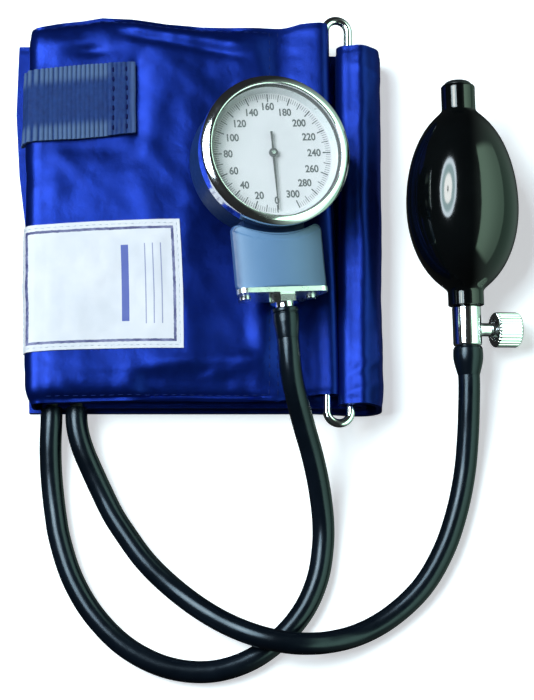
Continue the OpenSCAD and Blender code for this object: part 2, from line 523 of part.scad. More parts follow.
module hose_end_gauge() color(black) gauge_frame() translate([noz_x, 0, noz_z]) rotate([90, 0, 0]) rotate_extrude($fn = 48) polygon([
  [3.0, 56.6], [4.7, 56.6], [5.1, 57.0], [5.1, 58.2], [4.7, 58.6], [4.95, 59.2], [4.9, 62], [4.5, 65], [hose_r, he_g], [2.65, he_g], [2.65, 57.4]]);

module hose_end_bulb() color(black) valve_frame() rotate([90, 0, 0]) rotate_extrude($fn = 48) polygon([
  [3.05, 52.8], [5.0, 52.8], [5.5, 53.6], [5.65, 56], [5.5, 58.2], [4.9, 60.8], [hose_r, he_b], [3.05, he_b]]);

// route of the gauge hose: from the cuff's front edge, round on the floor,
// under the bulb hose, up over the cuff's front edge to the gauge
route_gauge = concat(
  [[nip_x[0], -half_w - 0.05, z_mid]],
  [[nip_x[0], -half_w - 2.05, z_mid], [-53.64, -79, 9.3], [-53.85, -85.5, 8.4], [-53.8, -92, 6.9], [-53.4, -99, 5.3], [-52.6, -106.5, 4.3], [-51.6, -113.5, 4.2], [-50.3, -120.5, 4.2], [-45.2, -136, 4.2],
   [-36.8, -150, 4.2], [-24.5, -162, 4.2], [-9.5, -169.2, 4.2], [6, -170.6, 4.2], [20, -166.5, 4.2], [31.8, -158, 4.2], [40.3, -147.5, 4.2],
   [45.2, -136, 4.2], [47.1, -124.5, 4.45], [47.3, -116.5, 5.9], [46.6, -109, 8.9], [45.2, -101, 13.4], [43, -92.5, 19], [40.2, -84, 25.3],
   [37.6, -75.5, 31.4], [36, -69.8, 34.6], [35, -63.9, 36.8]],
  [gauge_at([noz_x, -he_g - 4, noz_z]), gauge_at([noz_x, -he_g - 0.03, noz_z])]);
// route of the bulb hose: from the cuff's front edge, over the gauge hose in a
// long low hump, and round to the release valve
route_bulb = concat(
  [[nip_x[1], -half_w - 0.05, z_mid]],
  [[nip_x[1], -half_w - 2.05, z_mid], [-44.2, -78.6, 9.35], [-43.5, -82.6, 9.1], [-42.35, -86.6, 8.6], [-40.85, -90.6, 7.8], [-39.05, -94.6, 6.8], [-37.1, -98.8, 5.8], [-33.9, -105.5, 4.65], [-30.6, -112, 4.25], [-26.8, -118, 4.2], [-18, -130, 4.2],
   [-6.5, -141, 4.5], [5.5, -150, 7.2], [16.5, -156.2, 10.9], [28, -160.2, 12.8], [39, -161.5, 11.7], [50, -160.3, 8.4], [61, -156.7, 5.2],
   [72, -150.3, 4.2], [83.5, -139.5, 4.2], [91.8, -125.5, 4.2], [97, -110.5, 4.2], [100, -96, 4.8], [101.2, -83, 7.4], [101.6, -73, 9.9]],
  [bulb_at([0, -he_b - 3, 0]), bulb_at([0, -he_b - 0.03, 0])]);

// tube of constant radius along a route, one ring at each point
module hose_tube(p, r, sides) {
  n = len(p);
  rings = [for (i = [0:n - 1]) let (
      d = unit(p[min(i + 1, n - 1)] - p[max(i - 1, 0)]),
      s = unit(cross(d, [0, 0, 1])),
      u = cross(s, d))
    for (j = [0:sides - 1]) let (a = 360*j/sides) p[i] + r*(cos(a)*s + sin(a)*u)];
  polyhedron(points = rings, faces = concat(
    [[for (j = [0:sides - 1]) j]],
    [for (i = [0:n - 2], j = [0:sides - 1]) let (k = (j + 1) % sides) [i*sides + j, (i + 1)*sides + j, (i + 1)*sides + k, i*sides + k]],
    [[for (j = [sides - 1:-1:0]) (n - 1)*sides + j]]), convexity = 10);
}

module hose_gauge() color(black) hose_tube(route_gauge, hose_r, 12);
module hose_bulb() color(black) hose_tube(route_bulb, hose_r, 12);

cuff_outer_panel();
cuff_inner_panel();
bladder();
bladder_nipples();
loop_patch();
hook_patch();
label();
gauge_strap();
closure_ring();
gauge_case();
bezel();
lens();
lens_gasket();
dial_ring();
dial_plate();
pointer();
pinion_arbor();
hairspring();
sector_gear();
sector_arbor();
rocker_shaft();
movement_base();
top_plate();
movement_pillars();
base_screws();
pillar_screws();
capsule();
capsule_stud();
inlet_pipe();
inlet_block();
end_plate();
end_plate_screws();
gauge_nipple();
rear_clip();
clip_rivets();
bulb();
intake_valve_body();
intake_flap();
intake_retainer();
valve_body();
outlet_valve_seat();
outlet_ball();
release_needle();
needle_packing();
release_knob();
knob_screw();
hose_end_gauge();
hose_end_bulb();
hose_gauge();
hose_bulb();
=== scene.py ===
import math
import bpy
import bmesh
import numpy as np
from mathutils import Matrix, Vector


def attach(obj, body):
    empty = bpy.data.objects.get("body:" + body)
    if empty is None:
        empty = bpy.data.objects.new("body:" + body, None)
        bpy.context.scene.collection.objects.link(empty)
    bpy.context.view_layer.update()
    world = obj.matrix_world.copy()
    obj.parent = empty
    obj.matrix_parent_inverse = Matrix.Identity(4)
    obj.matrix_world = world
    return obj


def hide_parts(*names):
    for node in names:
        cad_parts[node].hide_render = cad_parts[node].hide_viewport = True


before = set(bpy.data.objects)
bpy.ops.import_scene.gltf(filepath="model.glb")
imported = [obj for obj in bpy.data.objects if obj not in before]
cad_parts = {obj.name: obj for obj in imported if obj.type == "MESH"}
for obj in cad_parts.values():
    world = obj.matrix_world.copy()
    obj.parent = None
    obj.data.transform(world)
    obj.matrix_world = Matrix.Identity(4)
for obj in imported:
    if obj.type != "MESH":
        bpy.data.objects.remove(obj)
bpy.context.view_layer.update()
scene = bpy.context.scene
MM = 0.001


def mm(points):
    return [tuple(c * MM for c in p) for p in points]


# ---------------------------------------------------------------- camera
cam_data = bpy.data.cameras.new("camera")
cam_data.sensor_fit = "VERTICAL"
cam_data.sensor_height = 24.0
cam_data.lens = 12.0 / math.tan(math.radians(6.847))
cam_data.clip_start = 0.05
cam_data.clip_end = 30.0
cam = bpy.data.objects.new("camera", cam_data)
scene.collection.objects.link(cam)
TARGET = Vector((0.0265, -0.0479, 0.0))
ELEV = math.radians(75)
cam.location = TARGET + 1.1 * Vector((0, -math.cos(ELEV), math.sin(ELEV)))
cam.rotation_euler = (math.radians(15), 0, 0)
scene.camera = cam

# ---------------------------------------------------------------- frames
def rot(a, axis):
    return Matrix.Rotation(math.radians(a), 4, axis)


GAUGE = Matrix.Translation((0.0285, 0.013, 0.0509)) @ rot(3, "X") @ rot(17, "Y") @ rot(5.5, "Z")
BULB = Matrix.Translation((0.0997, 0.002, 0.0215)) @ rot(1.8, "Z") @ rot(8.5, "X")
VALVE = BULB @ rot(18, "Y")
ALONG_Y = rot(-90, "X")
ALONG_X = rot(90, "Y")

# ---------------------------------------------------------------- hoses
HOSE_D = 0.0082
ROUTE_GAUGE = mm([(-53.6, -73.05, 9.4), (-53.6, -75.05, 9.4), (-53.64, -79, 9.3), (-53.85, -85.5, 8.4), (-53.8, -92, 6.9), (-53.4, -99, 5.3),
    (-52.6, -106.5, 4.3), (-51.6, -113.5, 4.2), (-50.3, -120.5, 4.2), (-45.2, -136, 4.2), (-36.8, -150, 4.2), (-24.5, -162, 4.2),
    (-9.5, -169.2, 4.2), (6, -170.6, 4.2), (20, -166.5, 4.2), (31.8, -158, 4.2), (40.3, -147.5, 4.2), (45.2, -136, 4.2),
    (47.1, -124.5, 4.45), (47.3, -116.5, 5.9), (46.6, -109, 8.9), (45.2, -101, 13.4), (43, -92.5, 19), (40.2, -84, 25.3),
    (37.6, -75.5, 31.4), (36, -69.8, 34.6), (35, -63.9, 36.8)])
ROUTE_BULB = mm([(-44.4, -73.05, 9.4), (-44.4, -75.05, 9.4), (-44.2, -78.6, 9.35), (-43.5, -82.6, 9.1), (-42.35, -86.6, 8.6), (-40.85, -90.6, 7.8),
    (-39.05, -94.6, 6.8), (-37.1, -98.8, 5.8), (-33.9, -105.5, 4.65), (-30.6, -112, 4.25), (-26.8, -118, 4.2), (-18, -130, 4.2),
    (-6.5, -141, 4.5), (5.5, -150, 7.2), (16.5, -156.2, 10.9), (28, -160.2, 12.8), (39, -161.5, 11.7), (50, -160.3, 8.4),
    (61, -156.7, 5.2), (72, -150.3, 4.2), (83.5, -139.5, 4.2), (91.8, -125.5, 4.2), (97, -110.5, 4.2), (100, -96, 4.8),
    (101.2, -83, 7.4), (101.6, -73, 9.9)])
for q in [(1.5, -72, -7), (1.5, -68.03, -7)]:
    ROUTE_GAUGE.append(tuple(GAUGE @ Vector([c * MM for c in q])))
for q in [(0, -66.6, 0), (0, -63.63, 0)]:
    ROUTE_BULB.append(tuple(VALVE @ Vector([c * MM for c in q])))


def smooth_line(points, step=0.0012):
    """A centripetal Catmull-Rom line through the points, at even steps."""
    p = np.array(points, float)
    p = np.vstack([2 * p[0] - p[1], p, 2 * p[-1] - p[-2]])
    out = []
    for i in range(1, len(p) - 2):
        p0, p1, p2, p3 = p[i - 1], p[i], p[i + 1], p[i + 2]
        t0 = 0.0
        t1 = t0 + np.linalg.norm(p1 - p0) ** 0.5
        t2 = t1 + np.linalg.norm(p2 - p1) ** 0.5
        t3 = t2 + np.linalg.norm(p3 - p2) ** 0.5
        n = max(2, int(np.linalg.norm(p2 - p1) / (step / 4)))
        t = np.linspace(t1, t2, n, endpoint=False)[:, None]
        a1 = (t1 - t) / (t1 - t0) * p0 + (t - t0) / (t1 - t0) * p1
        a2 = (t2 - t) / (t2 - t1) * p1 + (t - t1) / (t2 - t1) * p2
        a3 = (t3 - t) / (t3 - t2) * p2 + (t - t2) / (t3 - t2) * p3
        b1 = (t2 - t) / (t2 - t0) * a1 + (t - t0) / (t2 - t0) * a2
        b2 = (t3 - t) / (t3 - t1) * a2 + (t - t1) / (t3 - t1) * a3
        out.append((t2 - t) / (t2 - t1) * b1 + (t - t1) / (t2 - t1) * b2)
    line = np.vstack(out + [p[-2][None]])
    d = np.r_[0, np.cumsum(np.linalg.norm(np.diff(line, axis=0), axis=1))]
    n = int(round(d[-1] / step)) + 1
    s = np.linspace(0, d[-1], n)
    line = np.column_stack([np.interp(s, d, line[:, k]) for k in range(3)])
    return line, d[-1]


def hose(name, route):
    line, length = smooth_line(route)
    c = bpy.data.curves.new(name, "CURVE")
    c.dimensions = "3D"
    c.resolution_u = 1
    c.bevel_depth = HOSE_D / 2
    c.bevel_resolution = 10
    c.use_fill_caps = True
    s = c.splines.new("POLY")
    s.points.add(len(line) - 1)
    for i, q in enumerate(line):
        s.points[i].co = (*q, 1)
        s.points[i].radius = 1.0
    s.use_smooth = True
    o = bpy.data.objects.new(name, c)
    scene.collection.objects.link(o)
    return o, length


hose_g, len_g = hose("gauge_hose", ROUTE_GAUGE)
hose_b, len_b = hose("bulb_hose", ROUTE_BULB)


# ---------------------------------------------------------------- materials
class Mat:
    """Small builder for node materials around one Principled shader."""

    def __init__(self, name, base=(0.5, 0.5, 0.5), rough=0.5, metal=0.0, **sockets):
        self.m = bpy.data.materials.new(name)
        self.m.use_nodes = True
        self.t = self.m.node_tree
        self.t.nodes.clear()
        self.out = self.t.nodes.new("ShaderNodeOutputMaterial")
        self.b = self.t.nodes.new("ShaderNodeBsdfPrincipled")
        self.t.links.new(self.b.outputs[0], self.out.inputs["Surface"])
        self.set("Base Color", base)
        self.set("Roughness", rough)
        self.set("Metallic", metal)
        for k, v in sockets.items():
            self.set(k.replace("_", " "), v)

    def put(self, socket, v):
        if hasattr(v, "is_output"):
            self.t.links.new(v, socket)
        elif hasattr(v, "__len__") and socket.type == "RGBA" and len(v) == 3:
            socket.default_value = (*v, 1)
        else:
            socket.default_value = v

    def set(self, name, v):
        self.put(self.b.inputs[name], v)

    def node(self, kind, ins=(), **props):
        n = self.t.nodes.new("ShaderNode" + kind)
        for k, v in props.items():
            setattr(n, k, v)
        for k, v in dict(ins).items():
            self.put(n.inputs[k], v)
        return n

    def obj(self):
        return self.node("TexCoord").outputs["Object"]

    def uv(self, name="UVMap"):
        return self.node("UVMap", uv_map=name).outputs["UV"]

    def scaled(self, vec, s):
        n = self.node("Mapping", {"Vector": vec})
        n.inputs["Scale"].default_value = s if hasattr(s, "__len__") else (s, s, s)
        return n.outputs[0]

    def noise(self, scale, vec=None, detail=3.0, rough=0.5, dist=0.0, seed=0.0):
        n = self.node("TexNoise", {"Vector": vec or self.obj(), "Scale": scale, "Detail": detail, "Roughness": rough, "Distortion": dist}, noise_dimensions="4D")
        n.inputs["W"].default_value = seed
        return n.outputs["Fac"]

    def cells(self, scale, vec=None, feature="F1", seed=1.0):
        n = self.node("TexVoronoi", {"Vector": vec or self.obj(), "Scale": scale, "Randomness": seed}, feature=feature)
        return n.outputs["Distance"]

    def wave(self, scale, vec, direction="X", profile="SIN", dist=0.0, dscale=1.0):
        n = self.node("TexWave", {"Vector": vec, "Scale": scale, "Distortion": dist, "Detail": 1.0, "Detail Scale": dscale}, wave_type="BANDS", bands_direction=direction, wave_profile=profile)
        return n.outputs["Fac"]

    def xyz(self, vec):
        return self.node("SeparateXYZ", {"Vector": vec}).outputs

    def math(self, op, a, b=0.0, c=0.0, clamp=False):
        n = self.node("Math", operation=op, use_clamp=clamp)
        self.put(n.inputs[0], a)
        self.put(n.inputs[1], b)
        self.put(n.inputs[2], c)
        return n.outputs[0]

    def mapr(self, v, a, b, c, d, smooth=False):
        n = self.node("MapRange", {"Value": v, "From Min": a, "From Max": b, "To Min": c, "To Max": d}, interpolation_type="SMOOTHSTEP" if smooth else "LINEAR")
        return n.outputs[0]

    def mix(self, f, a, b, blend="MIX"):
        n = self.node("Mix", data_type="RGBA", blend_type=blend)
        self.put(n.inputs["Factor"], f)
        self.put(n.inputs[6], a)
        self.put(n.inputs[7], b)
        return n.outputs[2]

    def ramp(self, f, stops):
        n = self.node("ValToRGB", {"Fac": f})
        e = n.color_ramp.elements
        while len(e) < len(stops):
            e.new(0.5)
        for el, (p, c) in zip(e, stops):
            el.position = p
            el.color = (*c, 1) if len(c) == 3 else c
        return n.outputs[0]

    def bump(self, height, strength=0.5, distance=0.0002, normal=None):
        n = self.node("Bump", {"Height": height, "Strength": strength, "Distance": distance})
        if normal is not None:
            self.put(n.inputs["Normal"], normal)
        return n.outputs[0]


def edge_wear(m, lo=0.5, hi=0.62):
    p = m.node("NewGeometry").outputs["Pointiness"]
    return m.mapr(p, lo, hi, 0, 1)


def fabric_blue(name, tone=1.0):
    """Plain-woven nylon with a satin shine."""
    m = Mat(name)
    uv = m.uv()
    x, y, _ = m.xyz(uv)
    big = m.noise(28, detail=3, seed=1.3)
    mid = m.noise(140, detail=4, seed=4.1)
    base = m.mix(m.mapr(big, 0.35, 0.65, 0, 1), [c * tone for c in (0.0030, 0.0112, 0.118)], [c * tone for c in (0.0038, 0.0145, 0.152)])
    base = m.mix(m.mapr(mid, 0.3, 0.7, 0, 0.35), base, [c * tone for c in (0.0048, 0.018, 0.18)])
    m.set("Base Color", base)
    m.set("Metallic", 0.74)
    m.set("Coat Weight", 0.04)
    m.set("Coat Roughness", 0.33)
    m.set("Specular IOR Level", 0.25)
    m.set("Specular Tint", (0.18, 0.36, 1.0, 1))
    m.set("Sheen Weight", 0.04)
    m.set("Sheen Roughness", 0.4)
    m.set("Sheen Tint", (0.15, 0.3, 1.0, 1))
    m.set("Roughness", m.mapr(m.noise(300, detail=2, seed=2.2), 0.3, 0.7, 0.31, 0.41))
    # threads over and under, 0.45 mm apart
    wx = m.math("SINE", m.math("MULTIPLY", x, 2 * math.pi / 0.00045))
    wy = m.math("SINE", m.math("MULTIPLY", y, 2 * math.pi / 0.00045))
    weave = m.math("MULTIPLY", wx, wy)
    n1 = m.bump(weave, 0.35, 0.00003)
    n2 = m.bump(m.noise(420, detail=4, rough=0.6, seed=7.7), 0.5, 0.00016, n1)
    n3 = m.bump(m.noise(90, detail=3, rough=0.5, dist=0.6, seed=9.1), 0.45, 0.0007, n2)
    m.set("Normal", n3)
    return m.m


def rubber_black(name, rough=0.34, base=(0.010, 0.012, 0.012), grain=0.35, coat=0.0, coat_rough=0.1, shine=0.5, tint=(1, 1, 1)):
    m = Mat(name, base)
    m.set("Specular IOR Level", shine)
    m.set("Specular Tint", (*tint, 1))
    m.set("Base Color", m.mix(m.mapr(m.noise(60, detail=4, seed=3), 0.35, 0.7, 0, 1), base, [min(1, c * 1.7 + 0.0004) for c in base]))
    m.set("Roughness", m.mapr(m.noise(220, detail=4, rough=0.6, seed=5), 0.3, 0.7, rough * 0.85, rough * 1.3))
    m.set("Coat Weight", coat)
    m.set("Coat Roughness", coat_rough)
    m.set("Normal", m.bump(m.noise(900, detail=3, rough=0.6), grain, 0.00004, m.bump(m.noise(70, detail=2, seed=8), 0.2, 0.0004)))
    return m.m


def chrome(name, rough=0.07, base=(0.86, 0.87, 0.88)):
    m = Mat(name, base, metal=1.0)
    haze = m.noise(160, detail=4, rough=0.6, seed=2)
    m.set("Base Color", m.mix(m.mapr(m.noise(500, detail=3, seed=6), 0.62, 0.75, 0, 0.5), base, (0.55, 0.56, 0.58)))
    m.set("Roughness", m.mapr(haze, 0.35, 0.7, rough, rough + 0.08))
    m.set("Normal", m.bump(m.noise(700, detail=4, rough=0.6, seed=1), 0.10, 0.00003))
    return m.m


def metal(name, base, rough=0.28, along=(1, 1, 1), speck=0.4):
    m = Mat(name, base, metal=1.0)
    lines = m.noise(2600, m.scaled(m.obj(), along), detail=3, rough=0.6)
    m.set("Base Color", m.mix(m.mapr(m.noise(240, detail=3, seed=3), 0.4, 0.75, 0, speck), base, [c * 0.62 for c in base]))
    m.set("Roughness", m.mapr(m.noise(420, detail=4, rough=0.6, seed=9), 0.3, 0.7, rough - 0.06, rough + 0.10))
    m.set("Normal", m.bump(lines, 0.22, 0.00004))
    return m.m


def moulded(name, base, rough=0.42, grain=0.5, size=1500, tint=None, shine=0.32):
    m = Mat(name, base)
    m.set("Specular IOR Level", shine)
    tint = tint or [c * 0.8 for c in base]
    m.set("Base Color", m.mix(m.mapr(m.noise(90, detail=4, seed=2), 0.35, 0.7, 0, 0.6), base, tint))
    m.set("Roughness", m.mapr(m.noise(500, detail=3, seed=4), 0.3, 0.7, rough - 0.05, rough + 0.07))
    m.set("Normal", m.bump(m.noise(size, detail=2, rough=0.5), grain, 0.00006))
    return m.m


MATS = {
    "cuff": fabric_blue("nylon_blue"),
    "lining": fabric_blue("nylon_lining", 0.95),
    "hose": rubber_black("hose_rubber", 0.22, (0.0016, 0.0030, 0.0056), 0.22, shine=0.36, tint=(0.72, 0.86, 1.0)),
    "bladder": rubber_black("bladder_rubber", 0.5, (0.006, 0.006, 0.007), 0.6),
    "bulb": rubber_black("bulb_rubber", 0.085, (0.0010, 0.0014, 0.0016), 0.02, 0.0, 0.05),
    "seal": rubber_black("seal_rubber", 0.5, (0.012, 0.012, 0.012), 0.4),
    "chrome": chrome("chrome"),
    "steel": metal("steel", (0.60, 0.61, 0.63), 0.24),
    "satin_chrome": metal("satin_chrome", (0.84, 0.85, 0.86), 0.30, speck=0.15),
    "brass": metal("brass", (0.80, 0.58, 0.25), 0.25),
    # painted shade: a darker copy of the case's blue-grey plastic, used for the cup and for the root under the bezel
    "slate_painted_shade": moulded("slate_cup_painted_shade", (0.008, 0.024, 0.080), 0.42, 0.40, 1400, shine=0.14),
    "slate": moulded("slate_moulding", (0.115, 0.215, 0.37), 0.34, 0.40, 1400),
    "black": moulded("black_moulding", (0.012, 0.014, 0.015), 0.3, 0.3, 1800),
    "flap": moulded("flap_rubber", (0.24, 0.08, 0.05), 0.5, 0.6, 1600),
    "pointer": moulded("pointer_paint", (0.012, 0.012, 0.014), 0.35, 0.2, 2500),
}

m = Mat("lens_glass", (0.93, 0.97, 0.96), 0.02)
m.set("Roughness", m.mapr(m.noise(60, detail=2), 0.4, 0.8, 0.015, 0.05))
m.set("Normal", m.bump(m.noise(55, detail=2, seed=3), 0.12, 0.0004))
m.set("Alpha", 0.07)
MATS["lens"] = m.m
m = Mat("dial_white", (0.86, 0.88, 0.88), 0.45)
m.set("Base Color", m.mix(m.mapr(m.noise(120, detail=4), 0.35, 0.7, 0, 1), (0.71, 0.675, 0.70), (0.66, 0.63, 0.655)))
m.set("Roughness", m.mapr(m.noise(600, detail=3), 0.3, 0.7, 0.4, 0.52))
m.set("Normal", m.bump(m.noise(2200, detail=3), 0.25, 0.00003))
MATS["dial"] = m.m
m = Mat("dial_ring_silver", (0.78, 0.80, 0.82), 0.3, 0.35)
m.set("Base Color", m.mix(m.mapr(m.noise(200, detail=3), 0.35, 0.7, 0, 1), (0.80, 0.82, 0.83), (0.68, 0.71, 0.72)))
m.set("Roughness", m.mapr(m.noise(400, detail=3, seed=3), 0.3, 0.7, 0.26, 0.38))
m.set("Normal", m.bump(m.noise(1800, m.scaled(m.obj(), (1, 1, 0.2)), detail=2), 0.3, 0.00004))
MATS["dial_ring"] = m.m
m = Mat("dial_ink", (0.025, 0.028, 0.032), 0.5)
m.set("Base Color", m.mix(m.mapr(m.noise(900, detail=3), 0.4, 0.7, 0, 1), (0.022, 0.024, 0.028), (0.06, 0.065, 0.07)))
m.set("Roughness", m.mapr(m.noise(1500, detail=2), 0.3, 0.7, 0.45, 0.6))
MATS["ink"] = m.m



def elastic(name):
    """Ribbed woven elastic with a short nap, and painted highlights on its rib crests near the long edges and along its
    end.
    """
    m = Mat(name)
    x, y, _ = m.xyz(m.uv())
    fine = m.math("MULTIPLY", m.math("SINE", m.math("MULTIPLY", x, 2 * math.pi / 0.00034)), m.math("SINE", m.math("MULTIPLY", y, 2 * math.pi / 0.00028)))
    base = m.mix(m.mapr(m.noise(500, detail=4, seed=2), 0.3, 0.7, 0, 1), (0.004, 0.019, 0.105), (0.009, 0.035, 0.158))
    # painted highlight: rib crests near the long edges drawn lighter
    rib = m.mapr(m.math("SINE", m.math("MULTIPLY", x, 2 * math.pi / 0.0017)), -0.2, 0.9, 0, 1)
    rim = m.math("MAXIMUM", m.mapr(y, 0.0035, 0.0075, 1, 0, True), m.mapr(y, 0.0205, 0.0245, 0, 1, True))
    rib = m.math("MULTIPLY", m.math("MULTIPLY", rib, rim), m.mapr(x, 0.0085, 0.0105, 0.15, 0.85))
    base = m.mix(rib, base, (0.075, 0.125, 0.24))
    # painted highlight: the strap's end edge drawn lighter
    base = m.mix(m.mapr(x, 0.0012, 0.0022, 0.6, 0), base, (0.07, 0.12, 0.27))
    m.set("Base Color", base)
    m.set("Roughness", m.mapr(m.noise(700, detail=2, seed=3), 0.3, 0.7, 0.62, 0.8))
    m.set("Specular IOR Level", 0.25)
    m.set("Sheen Weight", 0.12)
    m.set("Sheen Roughness", 0.35)
    m.set("Sheen Tint", (0.35, 0.5, 0.9, 1))
    m.set("Normal", m.bump(m.noise(1600, detail=3, rough=0.7), 0.5, 0.00012, m.bump(fine, 0.6, 0.00007)))
    return m.m


def pile(name, base, lit, size, depth):
    m = Mat(name)
    m.set("Base Color", m.mix(m.mapr(m.cells(size, seed=1.0), 0.0, 0.0007, 0, 1), lit, base))
    m.set("Roughness", m.mapr(m.noise(900, detail=3), 0.3, 0.7, 0.7, 0.9))
    m.set("Sheen Weight", 0.3)
    m.set("Sheen Tint", (0.3, 0.45, 0.9, 1))
    m.set("Normal", m.bump(m.cells(size, seed=1.0), 0.8, depth, m.bump(m.noise(1500, detail=3), 0.5, 0.0002)))
    return m.m


def thread(name, base):
    m = Mat(name)
    m.set("Base Color", m.mix(m.mapr(m.noise(1200, detail=2), 0.35, 0.65, 0, 1), base, [c * 1.6 for c in base]))
    m.set("Roughness", m.mapr(m.noise(2000, detail=2), 0.3, 0.7, 0.6, 0.8))
    m.set("Specular IOR Level", 0.12)
    m.set("Normal", m.bump(m.wave(2600, m.obj(), "DIAGONAL"), 0.5, 0.00005))
    return m.m


LABEL_W, LABEL_H = 0.0605, 0.0502


def satin_label(name):
    """White woven satin with a printed frame and plain rules."""
    m = Mat(name)
    x, y, _ = m.xyz(m.uv())
    dx = m.math("MINIMUM", x, m.math("SUBTRACT", LABEL_W, x))
    dy = m.math("MINIMUM", y, m.math("SUBTRACT", LABEL_H, y))
    d = m.math("MINIMUM", dx, dy)
    wob = m.math("MULTIPLY", m.math("SUBTRACT", m.noise(700, detail=3, seed=5), 0.5), 0.0005)
    line = m.math("LESS_THAN", m.math("ABSOLUTE", m.math("ADD", m.math("SUBTRACT", d, 0.0031), wob)), 0.00052)
    ink = m.mix(m.mapr(m.noise(300, detail=3, seed=6), 0.4, 0.65, 0, 1), (0.05, 0.05, 0.15), (0.17, 0.17, 0.30))
    white = m.mix(m.mapr(m.noise(70, detail=3, seed=7), 0.35, 0.65, 0, 1), (0.62, 0.60, 0.64), (0.56, 0.55, 0.60))
    col = m.mix(line, white, ink)

    def rule(cx, half, y0, y1, c, fade=1.0):
        a = m.math("LESS_THAN", m.math("ABSOLUTE", m.math("SUBTRACT", x, cx)), half)
        b = m.math("MULTIPLY", m.math("GREATER_THAN", y, y0), m.math("LESS_THAN", y, y1))
        return m.math("MULTIPLY", m.math("MULTIPLY", a, b), fade), c

    for q in [rule(0.0215, 0.0014, 0.0105, 0.0405, (0.02, 0.045, 0.30), 0.92), rule(0.0138, 0.00022, 0.0095, 0.0410, (0.16, 0.17, 0.33), 0.8),
              rule(0.0108, 0.00022, 0.0095, 0.0410, (0.16, 0.17, 0.33), 0.8), rule(0.0078, 0.00022, 0.0095, 0.0410, (0.16, 0.17, 0.33), 0.8)]:
        col = m.mix(q[0], col, q[1])
    m.set("Base Color", col)
    m.set("Roughness", m.mapr(m.noise(400, detail=3, seed=8), 0.3, 0.7, 0.42, 0.55))
    m.set("Specular IOR Level", 0.35)
    m.set("Sheen Weight", 0.1)
    weave = m.math("MULTIPLY", m.math("SINE", m.math("MULTIPLY", x, 2 * math.pi / 0.0003)), m.math("SINE", m.math("MULTIPLY", y, 2 * math.pi / 0.00022)))
    m.set("Normal", m.bump(m.noise(160, detail=3, seed=3), 0.35, 0.0003, m.bump(weave, 0.4, 0.00003)))
    return m.m


MATS["strap"] = elastic("elastic_navy")
MATS["label"] = satin_label("label_satin")
MATS["loops"] = pile("loop_pile", (0.012, 0.03, 0.12), (0.03, 0.065, 0.22), 1100, 0.0006)
MATS["hooks"] = pile("hook_tape", (0.008, 0.012, 0.05), (0.02, 0.035, 0.11), 800, 0.0005)
MATS["thread"] = thread("thread_blue", (0.0030, 0.011, 0.085))
MATS["thread_dark"] = thread("thread_navy", (0.0015, 0.003, 0.045))
MATS["thread_white"] = thread("thread_white", (0.42, 0.44, 0.48))

m = Mat("slate_neck_painted_shade", (0.115, 0.215, 0.37))
m.set("Specular IOR Level", 0.3)
x, y, _ = m.xyz(m.uv())
# painted shade: the neck's left flank drawn dark blue, and its face drawn greyer towards the right side; the noise on
# the face is random tone
painted_flank_shade = m.mapr(x, -0.0169, -0.0143, 1, 0, True)
face = m.mix(m.mapr(x, -0.004, 0.017, 0, 0.55), (0.118, 0.218, 0.375), (0.125, 0.215, 0.29))
face = m.mix(m.mapr(m.noise(90, detail=4, seed=2), 0.35, 0.7, 0, 0.4), face, (0.10, 0.19, 0.32))
m.set("Base Color", m.mix(painted_flank_shade, face, (0.030, 0.068, 0.18)))
m.set("Roughness", m.mapr(m.noise(500, detail=3, seed=4), 0.3, 0.7, 0.32, 0.44))
m.set("Normal", m.bump(m.noise(1400, detail=2, rough=0.5), 0.35, 0.00006))
MATS["neck"] = m.m

NODE_MATS = {
    "closure_ring": "chrome", "gauge_case": "slate", "bezel": "chrome", "lens": "lens", "lens_gasket": "seal", "dial_ring": "dial_ring",
    "dial_plate": "dial", "pointer": "pointer", "pinion_arbor": "steel", "hairspring": "brass", "sector_gear": "brass",
    "sector_arbor": "steel", "rocker_shaft": "steel", "movement_base": "brass", "top_plate": "brass", "movement_pillars": "brass",
    "base_screws": "steel", "pillar_screws": "steel", "capsule": "brass", "capsule_stud": "steel", "inlet_pipe": "brass",
    "inlet_block": "brass", "end_plate": "satin_chrome", "end_plate_screws": "steel", "gauge_nipple": "chrome", "rear_clip": "steel",
    "clip_rivets": "steel", "bulb": "bulb", "intake_valve_body": "black", "intake_flap": "flap", "intake_retainer": "steel",
    "valve_body": "chrome", "outlet_valve_seat": "brass", "outlet_ball": "steel", "release_needle": "steel", "needle_packing": "seal",
    "release_knob": "chrome", "knob_screw": "steel", "hose_end_gauge": "hose", "hose_end_bulb": "hose", "bladder_nipples": "bladder",
    "bladder": "bladder",
}
for node, key in NODE_MATS.items():
    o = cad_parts[node]
    if not o.material_slots:
        o.data.materials.append(MATS[key])
    for s in o.material_slots:
        s.material = MATS[key]


# ---------------------------------------------------------------- mesh helpers
def add(name, verts, faces, mat, body, replaces=(), uvs=None, sharp=35):
    me = bpy.data.meshes.new(name)
    me.from_pydata([tuple(v) for v in verts], [], [tuple(int(i) for i in f) for f in faces])
    me.validate()
    if uvs is not None:
        layer = me.uv_layers.new(name="UVMap")
        loops = np.empty(len(me.loops), np.int32)
        me.loops.foreach_get("vertex_index", loops)
        layer.data.foreach_set("uv", np.asarray(uvs, np.float32)[loops].ravel())
    me.materials.append(MATS[mat] if isinstance(mat, str) else mat)
    me.shade_smooth()
    if sharp:
        me.set_sharp_from_angle(angle=math.radians(sharp))
    o = bpy.data.objects.new(name, me)
    scene.collection.objects.link(o)
    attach(o, body)
    if replaces:
        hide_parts(*([replaces] if isinstance(replaces, str) else replaces))
    return o


